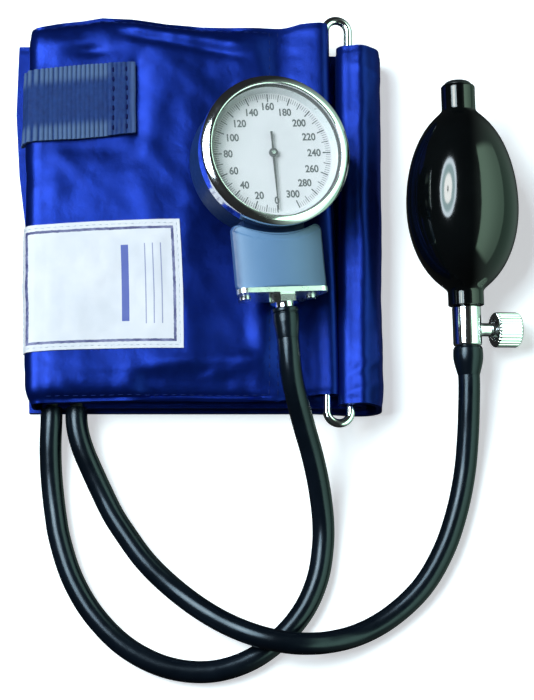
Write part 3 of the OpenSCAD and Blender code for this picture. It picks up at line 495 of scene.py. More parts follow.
def rounded(prof, radius, n=5):
    """A closed (r, s) outline with its corners rounded."""
    prof = [np.array(p[:2], float) for p in prof]
    rads = radius if hasattr(radius, "__len__") else [radius] * len(prof)
    out = []
    for i, p in enumerate(prof):
        a, b = prof[i - 1], prof[(i + 1) % len(prof)]
        la, lb = np.linalg.norm(a - p), np.linalg.norm(b - p)
        r = min(rads[i], 0.45 * la, 0.45 * lb)
        if r < 1e-6 or (p[0] < 1e-9 and (a[0] < 1e-9 or b[0] < 1e-9)):
            out.append(p)
            continue
        s, e = p + (a - p) / la * r, p + (b - p) / lb * r
        for t in np.linspace(0, 1, n):
            out.append((1 - t) ** 2 * s + 2 * t * (1 - t) * p + t * t * e)
    return out


def lathe(name, prof, mtx, mat, body, replaces=(), n=128, closed=True, sharp=35, shape=None):
    """A turned piece: (r, s) outline in mm about the frame's own z axis."""
    prof = [np.array(p, float) for p in prof]
    cols, verts, uvs = [], [], []
    length = 0.0
    for i, (r, s) in enumerate(prof):
        if i:
            length += float(np.linalg.norm(prof[i] - prof[i - 1]))
        if r < 1e-9:
            cols.append([len(verts)])
            verts.append(mtx @ Vector((0, 0, s * MM)))
            uvs.append((0, length * MM))
        else:
            cols.append(list(range(len(verts), len(verts) + n)))
            for k in range(n):
                a = 2 * math.pi * k / n
                q = r + (shape(r, s, a) if shape else 0)
                verts.append(mtx @ Vector((q * math.cos(a) * MM, q * math.sin(a) * MM, s * MM)))
                uvs.append((a, length * MM))
    faces = []
    pairs = list(zip(range(len(prof)), list(range(1, len(prof))) + [0])) if closed else [(i, i + 1) for i in range(len(prof) - 1)]
    for i, j in pairs:
        a, b = cols[i], cols[j]
        if len(a) == 1 and len(b) == 1:
            continue
        for k in range(n):
            k2 = (k + 1) % n
            if len(a) == 1:
                faces.append((a[0], b[k2], b[k]))
            elif len(b) == 1:
                faces.append((a[k], a[k2], b[0]))
            else:
                faces.append((a[k], a[k2], b[k2], b[k]))
    o = add(name, verts, faces, mat, body, replaces, uvs, sharp)
    fix_normals(o)
    return o


def fix_normals(o):
    bm = bmesh.new()
    bm.from_mesh(o.data)
    bmesh.ops.recalc_face_normals(bm, faces=bm.faces)
    bm.to_mesh(o.data)
    bm.free()


def thicken(name, mid, t, mat, body, replaces=(), uv=None, sharp=50):
    """A closed shell of thickness t (mm) about a grid of points mid[i, j] (mm)."""
    n, m_ = mid.shape[:2]
    du, dv = np.gradient(mid, axis=0), np.gradient(mid, axis=1)
    nor = np.cross(du, dv)
    nor /= np.linalg.norm(nor, axis=2, keepdims=True) + 1e-12
    th = (t if hasattr(t, "shape") else np.full((n, m_), float(t)))[..., None] / 2
    top, bot = mid + nor * th, mid - nor * th
    verts = np.vstack([top.reshape(-1, 3), bot.reshape(-1, 3)]) * MM
    idx = np.arange(n * m_).reshape(n, m_)
    a, b, c, d = idx[:-1, :-1].ravel(), idx[1:, :-1].ravel(), idx[1:, 1:].ravel(), idx[:-1, 1:].ravel()
    k = n * m_
    f = [np.column_stack([a, b, c, d]), np.column_stack([a + k, d + k, c + k, b + k])]
    ring = np.concatenate([idx[:-1, 0], idx[-1, :-1], idx[:0:-1, -1], idx[0, :0:-1]])
    nxt = np.roll(ring, -1)
    f.append(np.column_stack([ring, ring + k, nxt + k, nxt]))
    uvs = np.vstack([uv.reshape(-1, 2)] * 2) * MM if uv is not None else None
    o = add(name, verts, np.vstack(f), mat, body, replaces, uvs, sharp)
    return o


def lattice(seed, n=64):
    r = np.random.default_rng(seed)
    a = r.uniform(0, 2 * np.pi, (n, n))
    return np.cos(a), np.sin(a)


_lat = {}


def perlin(x, y, size, seed):
    """Smooth noise between about -1 and 1 with cells of the given size."""
    if seed not in _lat:
        _lat[seed] = lattice(seed)
    gx, gy = _lat[seed]
    u, v = x / size + 1000, y / size + 1000
    i, j = np.floor(u).astype(int), np.floor(v).astype(int)
    fu, fv = u - i, v - j
    su, sv = fu * fu * fu * (fu * (fu * 6 - 15) + 10), fv * fv * fv * (fv * (fv * 6 - 15) + 10)

    def g(a, b):
        ia, jb = (i + a) % 64, (j + b) % 64
        return gx[ia, jb] * (fu - a) + gy[ia, jb] * (fv - b)

    top = g(0, 0) * (1 - su) + g(1, 0) * su
    bot = g(0, 1) * (1 - su) + g(1, 1) * su
    return 1.5 * (top * (1 - sv) + bot * sv)


def step(v, a, b):
    t = np.clip((v - a) / (b - a), 0, 1)
    return t * t * (3 - 2 * t)


def hump(v, c, w):
    return np.exp(-((v - c) / w) ** 2)


# ---------------------------------------------------------------- cuff cloth
def arc(c, r, a0, a1, n, h0, h1):
    t = np.linspace(0, 1, n + 1)
    a = np.radians(a0 + (a1 - a0) * t)
    return [[c[0] + r * math.cos(q), c[1] + r * math.sin(q), h0 + (h1 - h0) * w] for q, w in zip(a, t)]


BAR1, BAR2 = (48.6, 18.6), (57.4, 17.0)
FOLD_X, Z_TOP, Z_MID = -54.4, 19.1, 9.4
top_layer = [[31, 18.8, 1.4], [28, 18.8, 2.2], [24, 19.0, 3.4], [18, 19.1, 4.2], [8, 19.1, 4.5], [-6, 19.1, 4.5], [-24, 19.1, 4.5], [-40, 19.1, 4.5]]
left_fold = arc((FOLD_X, 14.25), 4.85, 90, 270, 24, 4.5, 4.0)
mid_layer = [[-44, 9.4, 4], [-10, 9.4, 4], [36, 9.4, 4], [42, 9.2, 3.5], [48, 8.8, 2.5], [54, 8.6, 1.6]]
right_fold = arc((60.5, 11.05), 2.45, -90, 90, 14, 1.4, 1.4)
ring_fold = arc(BAR2, 3.7, 270, 90, 20, 1.4, 1.4)
over_right = arc((62, 13.9), 6.2, 84, 0, 12, 1.4, 1.4) + arc((62, 7.6), 6.2, 0, -90, 12, 1.4, 1.4)
tail = [[30, 1.4, 1.4], [0, 1.4, 1.4], [-40, 1.4, 1.4], [-69.9, 1.4, 1.4]]
BAND = np.array(top_layer + left_fold + mid_layer + right_fold + ring_fold + over_right + tail, float)
HALF = 73.0
TH = 1.0     # cloth thickness drawn


def even(path, gap):
    d = np.r_[0, np.cumsum(np.linalg.norm(np.diff(path[:, :2], axis=0), axis=1))]
    keep = np.r_[True, np.diff(d) > 1e-6]
    path, d = path[keep], d[keep]
    s = np.linspace(0, d[-1], int(round(d[-1] / gap)) + 1)
    return np.column_stack([np.interp(s, d, path[:, k]) for k in range(path.shape[1])]), s


def soften(a, n):
    """Averages neighbours along the first axis, ends kept."""
    for _ in range(n):
        a[1:-1] = 0.25 * a[:-2] + 0.5 * a[1:-1] + 0.25 * a[2:]
    return a


GAP = 1.0
line, S = even(BAND, GAP)
line = soften(line, 3)
tang = np.gradient(line[:, :2], axis=0)
tang /= np.linalg.norm(tang, axis=1, keepdims=True)
NX, NZ = tang[:, 1], -tang[:, 0]
d_band = np.r_[0, np.cumsum(np.linalg.norm(np.diff(BAND[:, :2], axis=0), axis=1))]
n_top, n_left, n_mid, n_rf, n_ring, n_over = len(top_layer), len(left_fold), len(mid_layer), len(right_fold), len(ring_fold), len(over_right)
S_FOLD0 = d_band[n_top]
S_FOLD1 = d_band[n_top + n_left - 1]
S_MID1 = d_band[n_top + n_left + n_mid - 1]
S_RING0 = d_band[n_top + n_left + n_mid + n_rf]
S_RING1 = d_band[n_top + n_left + n_mid + n_rf + n_ring - 1]
S_OVER1 = d_band[n_top + n_left + n_mid + n_rf + n_ring + n_over - 1]
S_END = d_band[-1]

# finer rows towards the long edges
rows = np.unique(np.concatenate([np.linspace(-1, -0.84, 17), np.linspace(-0.84, 0.84, 105), np.linspace(0.84, 1, 17)]).round(6))
SG, VG = np.meshgrid(S, rows, indexing="ij")
# x as if the band were laid flat from the top run, for the top layer's own features
XL = np.where(SG < S_FOLD0, line[:, 0][:, None] + 0 * VG, FOLD_X - (SG - S_FOLD0) * 9.35 / 4.85)

px_x = lambda p: 26.5 + (p - 267) / 2.66
# far edge of the top layer as it waves in the photo, and its near edge
top_edge = np.interp(XL, [px_x(p) for p in (20, 29, 45, 60, 80, 100, 130, 165, 200, 240, 300, 323)],
                     [72.6, 73.0, 74.6, 75.8, 76.6, 77.9, 77.2, 75.2, 74.2, 74.0, 73.4, 75.6])
bot_edge = np.interp(XL, [px_x(p) for p in (22, 29, 60, 120, 180, 240, 300)], [-74.0, -73.8, -73.2, -72.6, -72.2, -72.4, -72.8])
in_top = 1 - step(SG, S_FOLD0 + 6, S_FOLD1)
right_part = step(SG, S_MID1 - 26, S_MID1 - 8) * (1 - step(SG, S_OVER1 + 6, S_OVER1 + 34))
edge_hi = in_top * top_edge + (1 - in_top) * (72.9 - 6.6 * right_part)
edge_lo = in_top * bot_edge + (1 - in_top) * (-73.0 - 0.9 * step(SG, S_RING0 - 4, S_RING1) * (1 - step(SG, S_OVER1, S_OVER1 + 20)))
YG = np.where(VG > 0, VG * edge_hi, -VG * edge_lo)
# tail's slanted end
tail_end_x = lambda y: np.interp(y, [-73, -10, 2, 20, 45, 73], [-62.6, -64.2, -65.8, -68.2, -69.9, -69.4])
dist_edge = np.where(VG > 0, edge_hi - YG, YG - edge_lo)


def swell(d, w, start=2.0):
    t = np.clip((d - start) / w, 0, 1)
    return np.sqrt(np.clip(1 - (1 - t) ** 2.3, 0, 1))


# width of the pinch towards the seam: wider on the near side, right of the middle
w_pinch = 8.5 + 0 * SG
near = VG < 0
w_pinch = np.where(near & (SG < S_FOLD0), 6 + 10 * step(XL, -30, 0) * (1 - step(XL, 26, 31)), w_pinch)
G = swell(dist_edge, w_pinch)
fold_far = hump(SG, 0.5 * (S_FOLD0 + S_FOLD1), 7.0)
G = G + (1 - G) * fold_far * np.where(near, 0.42, 0.85)
H0 = line[:, 2][:, None] + 0 * VG
HG = (TH + 0.05) + (np.maximum(H0 - TH - 0.05, 0.02)) * G


def puckers(s, d, seed, amp=0.5, size=5.0):
    """Small gathers square to a seam, fading inwards."""
    return amp * perlin(s, d * 0.25, size, seed) * np.exp(-d / 7.0) * step(d, 0.3, 2.5)


def segment(x, y, a, b, w, soft_end=6.0):
    """1 on the line from a to b, falling off across it over w."""
    ax, ay, bx, by = a[0], a[1], b[0], b[1]
    L = math.hypot(bx - ax, by - ay)
    t = ((x - ax) * (bx - ax) + (y - ay) * (by - ay)) / L
    q = ((x - ax) * -(by - ay) + (y - ay) * (bx - ax)) / L
    ends = step(t, -soft_end, soft_end * 0.5) * (1 - step(t, L - soft_end * 0.5, L + soft_end))
    return np.exp(-(q / w) ** 2) * ends, q


def under_gauge(x, y):
    """Height in mm that the cloth puffs up to carry the gauge's lower edge and its clip."""
    return 1.85 * np.exp(-((x - 45) / 7) ** 2 - ((y - 12.6) / 15) ** 2) + 2.5 * np.exp(-((x - 29) / 8) ** 2 - ((y - 1) / 10) ** 2)


def top_relief(x, y):
    """Height in mm that the top cloth stands above its plain surface."""
    d = 0.85 * perlin(x, y, 36, 11) + 0.52 * perlin(x + 5, y * 1.2, 18, 12) + 0.15 * perlin(x, y, 8, 13)
    # long roll along the far edge that ends in a valley
    e, q = segment(x, y, (-27, 72), (18, 63.5), 2.6, 8)
    d += 0.9 * np.exp(-((q - 2.6) / 2.6) ** 2) * (e > 0) * step(x, -36, -20) * (1 - step(x, 12, 24)) - 0.8 * np.exp(-((q + 2.0) / 2.2) ** 2) * step(x, -34, -20) * (1 - step(x, 10, 24))
    # hollow above the strap
    d -= 1.3 * np.exp(-((x + 41) / 7.0) ** 2 - ((y - 63.5) / 2.4) ** 2)
    # long slope that falls away to the right beside the gauge, and one towards the hoses' side
    d -= 2.3 * step(x, -5, 15) * (1 - step(x, 17, 28)) * step(y, -62, -48) * (1 - step(y, 40, 66))
    d -= 1.5 * step(-y, 55.5, 66) * step(x, -26, -16) * (1 - step(x, 16, 26))
    d += 0.5 * np.exp(-((x + 52) / 9) ** 2 - ((y - 65) / 5) ** 2)
    # cloth drawn down round the strap's end
    d -= 0.7 * np.exp(-((x + 22.5) / 3.0) ** 2) * step(y, 22, 30) * (1 - step(y, 57, 64))
    d += 0.45 * np.exp(-((x + 15.5) / 5.5) ** 2) * step(y, 18, 34) * (1 - step(y, 56, 70))
    d -= 0.35 * np.exp(-((y - 24.5) / 3.2) ** 2) * step(x, -70, -60) * (1 - step(x, -30, -18))
    # shallow drag lines
    for a, b, amp, w in [((-60, 8), (-20, 16), 0.28, 2.6), ((-20, 26), (2, 2), 0.25, 3.2), ((-52, 22), (-30, 2), 0.20, 2.8),
                         ((-2, -20), (14, -46), 0.30, 3.4), ((0, -58), (-40, -61), 0.28, 2.2), ((8, 44), (-12, 60), 0.25, 3.0),
                         ((-62, -60), (-38, -66), 0.3, 2.4), ((4, -64), (22, -58), 0.35, 2.0)]:
        e, q = segment(x, y, a, b, w, 9)
        d += amp * e
    # ridge where the bladder ends, near the seam on the right
    e, q = segment(x, y, (-24, -61.5), (22, -56.5), 2.4, 8)
    d += 0.55 * e
    # sewn lines of the hem
    for xs in (30.6, 35.1):
        d -= 0.35 * np.exp(-((x - xs) / 0.55) ** 2)
        d += 0.12 * np.exp(-((x - xs - 1.6) / 0.9) ** 2)
    return d + under_gauge(x, y)


calm = np.ones_like(SG)
D = top_relief(XL, YG) * in_top
# quieter under the label and the strap
under = (step(XL, -75, -70) * (1 - step(XL, -6, -1)) * step(YG, -58, -53) * (1 - step(YG, -8, -2)))
under2 = (step(XL, -75, -70) * (1 - step(XL, -26, -22)) * step(YG, 26, 30) * (1 - step(YG, 55, 59)))
D = D * (1 - 0.45 * np.maximum(under, under2))
D += puckers(SG, dist_edge, 21, 0.55, 5.5) * in_top
D *= step(dist_edge, 0.0, 1.5) * 0.85 + 0.15
# right layer: soft vertical roll and drag lines
over = step(SG, S_RING1 - 8, S_RING1) * (1 - step(SG, S_OVER1 - 4, S_OVER1 + 6))
u_r = SG - S_RING1
R = 0.35 * perlin(u_r * 1.6, YG, 22, 31) + 0.18 * perlin(u_r, YG, 9, 32)
for a, b, amp, w in [((2, -62), (11, -56), 0.55, 1.5), ((0, -70), (12, -66), 0.35, 1.6), ((3, 58), (14, 55), 0.30, 1.6), ((1, 30), (10, 52), 0.3, 2.6),
                     ((9, -40), (3, 8), 0.30, 2.4), ((13, -50), (11, -10), -0.30, 2.0)]:
    e, q = segment(u_r, YG, a, b, w, 5)
    R += amp * e
R += puckers(SG, dist_edge, 23, 0.5, 5.0)
REST = 0.12 * perlin(SG, YG, 14, 41) * (1 - in_top) * (1 - over)


# the left fold bellies out between its ends, and the right layer has a flat shoulder
fold_t = np.clip((SG - S_FOLD0) / (S_FOLD1 - S_FOLD0), 0, 1)
BELLY = -np.sin(np.pi * fold_t) ** 1.3 * np.interp(YG, [-73, -60, -30, 20, 60, 73], [-1.0, -0.5, 1.1, 1.3, 1.1, 0.8])
over_t = np.clip((SG - S_RING1) / 9.1, 0, 1)
SHOULDER = 1.35 * np.sin(np.pi * over_t) ** 2


_ca, _sa = np.abs(np.cos(np.pi * fold_t)), np.abs(np.sin(np.pi * fold_t))
CORNER = (4.85 + HG) * ((_ca ** 5 + _sa ** 5) ** -0.2 - 1)


def place(off_out, rel):
    """Points of a surface off_out + rel along the band's normal."""
    # the fold's own corners are pushed out on the outer cloth only
    grow = rel - SHOULDER + CORNER * (np.mean(off_out) > 0)
    x = line[:, 0][:, None] + NX[:, None] * (off_out + grow) + BELLY
    z = line[:, 1][:, None] + NZ[:, None] * (off_out + grow)
    return x, z


def stage_edges(x, y, z):
    """Tail takes its slanted end over the band's last 40 mm."""
    t = (SG - (S_END - 40)) / 40
    end = tail_end_x(y)
    x = np.where(t > 0, x + np.clip(t, 0, 1) * (end + 69.9), x)
    return x, y, z


xo, zo = place(HG - TH / 2, D)
outer_mid = np.stack(stage_edges(xo, YG, zo), axis=2)
xi, zi = place(-(HG - TH / 2), -(R * over) - REST * (SG < S_MID1))
inner_mid = np.stack(stage_edges(xi, YG, zi), axis=2)
inner_mid[..., 2] = np.maximum(inner_mid[..., 2], TH / 2 + 0.02)

# hem round the ring's first bar, ahead of the outer cloth
hem_pts = np.array([[32.4, 17.5, 0], [38, 17.0, 0], [44, 16.4, 0]] + [[BAR1[0] + 2.5 * math.cos(math.radians(a)), BAR1[1] + 2.5 * math.sin(math.radians(a)), 0] for a in np.linspace(-90, 90, 13)] + [[44, 21.0, 0], [37, 20.2, 0], [32.2, 19.9, 0]], float)
hem_line, hs = even(hem_pts, 0.9)
hem_line = soften(hem_line, 2)
H_hi = np.interp(hem_line[:, 0], [31, 40, 48, 52], [73.4, 75.2, 75.6, 75.2])[:, None] + 0 * rows[None]
H_lo = np.interp(hem_line[:, 0], [31, 36, 42, 52], [-72.6, -71.0, -70.2, -70.0])[:, None] + 0 * rows[None]
hy = np.where(rows[None] > 0, rows[None] * H_hi, -rows[None] * H_lo)
hx = hem_line[:, 0][:, None] + 0 * hy
# the hem leans towards the ring on the near side
lean = np.interp(hy, [-73, -40, 0, 40, 73], [1.9, 1.4, 0.0, -0.9, -1.4])
hx = hx + lean * step(hx, 33, 44)
upper = hem_line[:, 1][:, None] > 18.8
hz = hem_line[:, 1][:, None] + 0 * hy
hd = np.minimum(H_hi - hy, hy - H_lo)
wob = 0.30 * perlin(hx * 1.2, hy, 16, 51) + 0.10 * perlin(hx, hy, 6, 52) - 0.4 * np.exp(-((hx - 35.1) / 0.6) ** 2) + puckers(hy, np.abs(hx - 35.1) + 0.5, 55, 0.25, 4)
hz = np.where(upper, hz + wob, hz - 0.15 * wob)
hz = np.where(upper, hz - 0.5 * (1 - step(hd, 0, 3)), hz)
# near the hoses' side the hem climbs towards the ring
hz = hz - np.where(upper, 1.6 * (1 - step(hx, 41.5, 51.5)) * (1 - step(hy, -30, 15)), 0) + np.where(upper, 0.35 * np.exp(-((hx - 46) / 4) ** 2), 0)
hz = hz + under_gauge(hx, hy) * np.clip((hem_line[:, 1][:, None] - 17) / 3.2, 0, 1)
hem_mid = np.stack([hx, hy, hz], axis=2)
outer_all = np.concatenate([hem_mid, outer_mid], axis=0)
cut = len(hem_line)
outer_all[cut - 6:cut + 6] = soften(outer_all[cut - 6:cut + 6], 6)
s_all = np.r_[hs - hs[-1] - 1.0, S]
outer_uv = np.stack([s_all[:, None] + 0 * rows[None], outer_all[..., 1]], axis=2)
inner_uv = np.stack([SG, YG], axis=2)

cuff_outer = thicken("cuff_outer_cloth", outer_all, TH, "cuff", "cuff_set", "cuff_outer_panel", outer_uv)
cuff_inner = thicken("cuff_inner_cloth", inner_mid, TH, "lining", "cuff_set", "cuff_inner_panel", inner_uv)
fix_normals(cuff_outer)
fix_normals(cuff_inner)

# ---------------------------------------------------------------- on the cuff's top
n_fold = int(np.searchsorted(S, S_FOLD1))
TOP_X = XL[:n_fold + 1, 0]
_du, _dv = np.gradient(outer_mid, axis=0), np.gradient(outer_mid, axis=1)
OUT_N = -np.cross(_du, _dv)
OUT_N /= np.linalg.norm(OUT_N, axis=2, keepdims=True) + 1e-12


def on_top(xl, y, lift):
    """Points and normals lift mm above the outer cloth, for places laid flat."""
    shape = np.broadcast(xl, y, lift).shape
    xl, y, lift = [np.broadcast_to(np.asarray(v, float), shape).ravel() for v in (xl, y, lift)]
    f = np.clip(np.interp(-xl, -TOP_X, np.arange(len(TOP_X))), 0, len(TOP_X) - 1.001)
    i = f.astype(int)
    f = (f - i)[:, None]
    ys = YG[i] * (1 - f) + YG[i + 1] * f
    j = np.clip((ys <= y[:, None]).sum(1) - 1, 0, ys.shape[1] - 2)
    k = np.arange(len(y))
    g = ((y - ys[k, j]) / (ys[k, j + 1] - ys[k, j]))[:, None]

    def pick(a):
        return (a[i, j] * (1 - f) + a[i + 1, j] * f) * (1 - g) + (a[i, j + 1] * (1 - f) + a[i + 1, j + 1] * f) * g

    nrm = pick(OUT_N)
    nrm /= np.linalg.norm(nrm, axis=1, keepdims=True)
    return (pick(outer_mid) + nrm * (TH / 2 + lift)[:, None]).reshape(*shape, 3), nrm.reshape(*shape, 3)


def patch_grid(corners, nu, nv, bow=(0, 0, 0, 0)):
    """Laid-flat x and y of a four-cornered piece: right-low, left-low, left-high, right-high."""
    (ax, ay), (bx, by), (cx, cy), (dx, dy) = corners
    u, v = np.meshgrid(np.linspace(0, 1, nu), np.linspace(0, 1, nv), indexing="ij")
    x = (1 - u) * (1 - v) * ax + u * (1 - v) * bx + u * v * cx + (1 - u) * v * dx
    y = (1 - u) * (1 - v) * ay + u * (1 - v) * by + u * v * cy + (1 - u) * v * dy
    y = y + bow[0] * np.sin(np.pi * u) * (1 - v) + bow[1] * np.sin(np.pi * u) * v
    x = x + bow[2] * np.sin(np.pi * v) * (1 - u) + bow[3] * np.sin(np.pi * v) * u
    return u, v, x, y


def stitches(name, path, normals, mat, body, length=2.0, gap=1.0, r=0.24):
    """A sewn line: short thread beads that dip into the cloth at both ends."""
    d = np.r_[0, np.cumsum(np.linalg.norm(np.diff(path, axis=0), axis=1))]
    count = max(1, int(d[-1] // (length + gap)))
    verts, faces = [], []
    rings, sides = 7, 8
    for c in range(count):
        s0 = (c + 0.5) * d[-1] / count - length / 2
        ss = s0 + np.linspace(0, length, rings)
        P = np.column_stack([np.interp(ss, d, path[:, k]) for k in range(3)])
        N = np.column_stack([np.interp(ss, d, normals[:, k]) for k in range(3)])
        T = np.gradient(P, axis=0)
        T /= np.linalg.norm(T, axis=1, keepdims=True)
        B = np.cross(T, N)
        B /= np.linalg.norm(B, axis=1, keepdims=True)
        w = np.linspace(-1, 1, rings)
        rr = r * np.sqrt(np.clip(1 - np.abs(w) ** 3, 0.02, 1))
        lift = r * (0.75 - 1.5 * np.abs(w) ** 3)
        base = len(verts)
        for q in range(rings):
            for k in range(sides):
                a = 2 * math.pi * k / sides
                verts.append(P[q] + N[q] * (lift[q] + rr[q] * math.sin(a)) + B[q] * rr[q] * math.cos(a))
        for q in range(rings - 1):
            for k in range(sides):
                k2 = (k + 1) % sides
                faces.append((base + q * sides + k, base + q * sides + k2, base + (q + 1) * sides + k2, base + (q + 1) * sides + k))
        faces.append(tuple(base + k for k in range(sides)))
        faces.append(tuple(base + (rings - 1) * sides + k for k in reversed(range(sides))))
    o = add(name, np.array(verts) * MM, faces, mat, body, sharp=0)
    fix_normals(o)
    return o


# label: white satin, sewn round its edge
LAB = [(-4.2, -53.6), (-64.3, -55.2), (-64.9, -6.4), (-6.2, -3.6)]
u, v, lx, ly = patch_grid(LAB, 150, 110, bow=(0.5, 0.5, 0.4, 0))
edge_d = np.minimum(np.minimum(u, 1 - u) * 60.5, np.minimum(v, 1 - v) * 50.2)
rise = 0.30 + 0.22 * perlin(lx, ly, 15, 61) * step(edge_d, 1, 6) + 0.18 * perlin(lx, ly, 6.5, 62) * step(edge_d, 0.5, 5) - 0.10 * np.exp(-((edge_d - 1.3) / 0.5) ** 2)
rise = rise + 0.35 * step(edge_d, 2, 12)
lab_mid, lab_n = on_top(lx, ly, np.maximum(rise, 0.16))
lab_uv = np.stack([u * 60.5, v * 50.2], axis=2)
label = thicken("label_cloth", lab_mid, 0.32, "label", "cuff_set", "label", lab_uv)
fix_normals(label)
lap = []
t = np.linspace(0, 1, 120)
for a, b in [((0.022, 0.027), (0.978, 0.027)), ((0.978, 0.027), (0.978, 0.973)), ((0.978, 0.973), (0.022, 0.973)), ((0.022, 0.973), (0.022, 0.027))]:
    lap.append(np.column_stack([a[0] + (b[0] - a[0]) * t, a[1] + (b[1] - a[1]) * t]))
lap = np.vstack(lap)


def on_patch(mid, uv01, lift):
    fi, fj = uv01[:, 0] * (mid.shape[0] - 1), uv01[:, 1] * (mid.shape[1] - 1)
    i, j = np.clip(fi.astype(int), 0, mid.shape[0] - 2), np.clip(fj.astype(int), 0, mid.shape[1] - 2)
    f, g = (fi - i)[:, None], (fj - j)[:, None]
    q = (mid[i, j] * (1 - f) + mid[i + 1, j] * f) * (1 - g) + (mid[i, j + 1] * (1 - f) + mid[i + 1, j + 1] * f) * g
    n = np.cross(np.gradient(mid, axis=0), np.gradient(mid, axis=1))[i, j]
    n /= np.linalg.norm(n, axis=1, keepdims=True)
    if n[:, 2].mean() < 0:
        n = -n
    return q + n * lift, n


q, n = on_patch(lab_mid, lap, 0.16)
lab_st = stitches("label_stitches", q, n, "thread_white", "cuff_set", 1.5, 0.9, 0.15)

# elastic loop that holds the gauge: ribbed, with a doubled end
STR = [(-23.4, 30.0), (-66.8, 26.6), (-67.0, 54.6), (-23.9, 58.2)]
u, v, sx, sy = patch_grid(STR, 300, 90, bow=(-0.5, 0.5, 0, 0))
ed = np.minimum(v, 1 - v) * 28.0
ex = u * 43.3
rib_env = 0.22 + 0.78 * (1 - step(ed, 4.0, 8.5))
rib = np.sin(2 * math.pi * ex / 1.7)
doubled = 1 - step(ex, 9.0, 9.8)
rise = 0.80 + 0.30 * rib * rib_env * (1 - 0.75 * doubled) + 0.85 * doubled + 0.15 * perlin(sx, sy, 14, 72)
for c in (2.9, 7.6):
    rise = rise - 0.38 * np.exp(-((ex - c) / 0.55) ** 2)
rise = rise + 0.35 * np.exp(-((ed - 0.0) / 0.9) ** 2) * 0.4 - 0.25 * (1 - step(ex, 0, 0.8))
rise = rise + 0.45 * step(ex, 10, 20) * (1 - step(ex, 24, 34)) * (1 - step(v * 28.0, 2, 9))
str_mid, _ = on_top(sx, sy, rise)
strap = thicken("elastic_loop", str_mid, 1.15, "strap", "cuff_set", "gauge_strap", np.stack([ex, v * 28.0], axis=2))
fix_normals(strap)
for k, c in enumerate((2.9, 7.6)):
    tt = np.linspace(0.03, 0.97, 90)
    q, n = on_patch(str_mid, np.column_stack([np.full_like(tt, c / 43.3), tt]), 0.57)
    stitches("loop_stitches_%d" % (k + 1), q, n, "thread_dark", "cuff_set", 2.5, 1.1, 0.42)

# sewn lines of the hem and along both long edges of the top layer
seams = []
yy = np.linspace(-71, 72.5, 300)
for k, xs in enumerate((30.4, 27.2)):
    q, n = on_top(np.full_like(yy, xs), yy, 0.0)
    seams.append(stitches("hem_stitches_%d" % (k + 1), q, n, "thread", "cuff_set", 2.3, 1.0, 0.17))
xx = np.linspace(27, -56, 260)
for k, sgn in enumerate((1, -1)):
    e = np.interp(-xx, -TOP_X, (edge_hi if sgn > 0 else edge_lo)[:n_fold + 1, -1 if sgn > 0 else 0])
    q, n = on_top(xx, e - sgn * 2.4, 0.0)
    seams.append(stitches("edge_stitches_%d" % (k + 1), q, n, "thread", "cuff_set", 2.3, 1.0, 0.15))


def slab_piece(name, x0, x1, y0, y1, z0, z1, mat, node, seed, amp=0.12, r=3.0):
    """A soft sewn patch: a sheet with rounded corners and an uneven face."""
    nx, ny = int((x1 - x0) / 1.2), int((y1 - y0) / 1.2)
    gx, gy = np.meshgrid(np.linspace(x0, x1, nx), np.linspace(y0, y1, ny), indexing="ij")
    cx, cy = 0.5 * (x0 + x1), 0.5 * (y0 + y1)
    qx, qy = np.maximum(np.abs(gx - cx) - ((x1 - x0) / 2 - r), 0), np.maximum(np.abs(gy - cy) - ((y1 - y0) / 2 - r), 0)
    k = np.where((qx > 0) & (qy > 0), np.minimum(1, r / (np.hypot(qx, qy) + 1e-9) * np.maximum(qx, qy) / r), 1)
    gx = cx + np.sign(gx - cx) * (np.abs(gx - cx) - qx + qx * k)
    gy = cy + np.sign(gy - cy) * (np.abs(gy - cy) - qy + qy * k)
    d = np.minimum(np.minimum(gx - x0, x1 - gx), np.minimum(gy - y0, y1 - gy))
    t = (z1 - z0) * (0.72 + 0.28 * step(d, 0, 2.5)) - 0.10 - amp * 0.5
    mid = np.stack([gx, gy, 0.5 * (z0 + z1) + amp * 0.4 * perlin(gx, gy, 11, seed)], axis=2)
    o = thicken(name, mid, t, mat, "cuff_set", node, np.stack([gx, gy], axis=2))
    fix_normals(o)
    return o


loops = slab_piece("loop_tape", -56, 36, -69, 69, 4.1, 5.3, "loops", "loop_patch", 81)
hooks = slab_piece("hook_tape", -61.5, -8, -69, 69, 2.85, 4.0, "hooks", "hook_patch", 82)

# bladder: a flat rubber bag between the panels, with rounded rims
s_a = float(S[np.argmin(np.abs(line[:n_fold + 1, 0] - 18))])
s_b = float(S[n_fold + np.argmin(np.abs(line[n_fold:n_fold + 120, 0] - 35))])
sb = np.linspace(s_a, s_b, 190)
vb = np.sin(np.linspace(-np.pi / 2, np.pi / 2, 71)) * 65.0
bx, bz, bh = [np.interp(sb, S, line[:, k]) for k in range(3)]
bnx, bnz = np.interp(sb, S, NX), np.interp(sb, S, NZ)
prof_v = np.sqrt(np.clip(1 - np.clip((np.abs(vb) - 56) / 9, 0, 1) ** 2, 0, 1))
es = np.minimum(sb - s_a, s_b - sb)
prof_s = np.sqrt(np.clip(1 - np.clip((9 - es) / 9, 0, 1) ** 2, 0, 1))
hb = np.maximum((bh - 1.35)[:, None] * 0.93 * np.minimum(prof_v[None], prof_s[:, None]), 0.0)
sv, vv_ = np.meshgrid(sb, vb, indexing="ij")
hb = hb * (1 + 0.05 * perlin(sv, vv_, 21, 91))
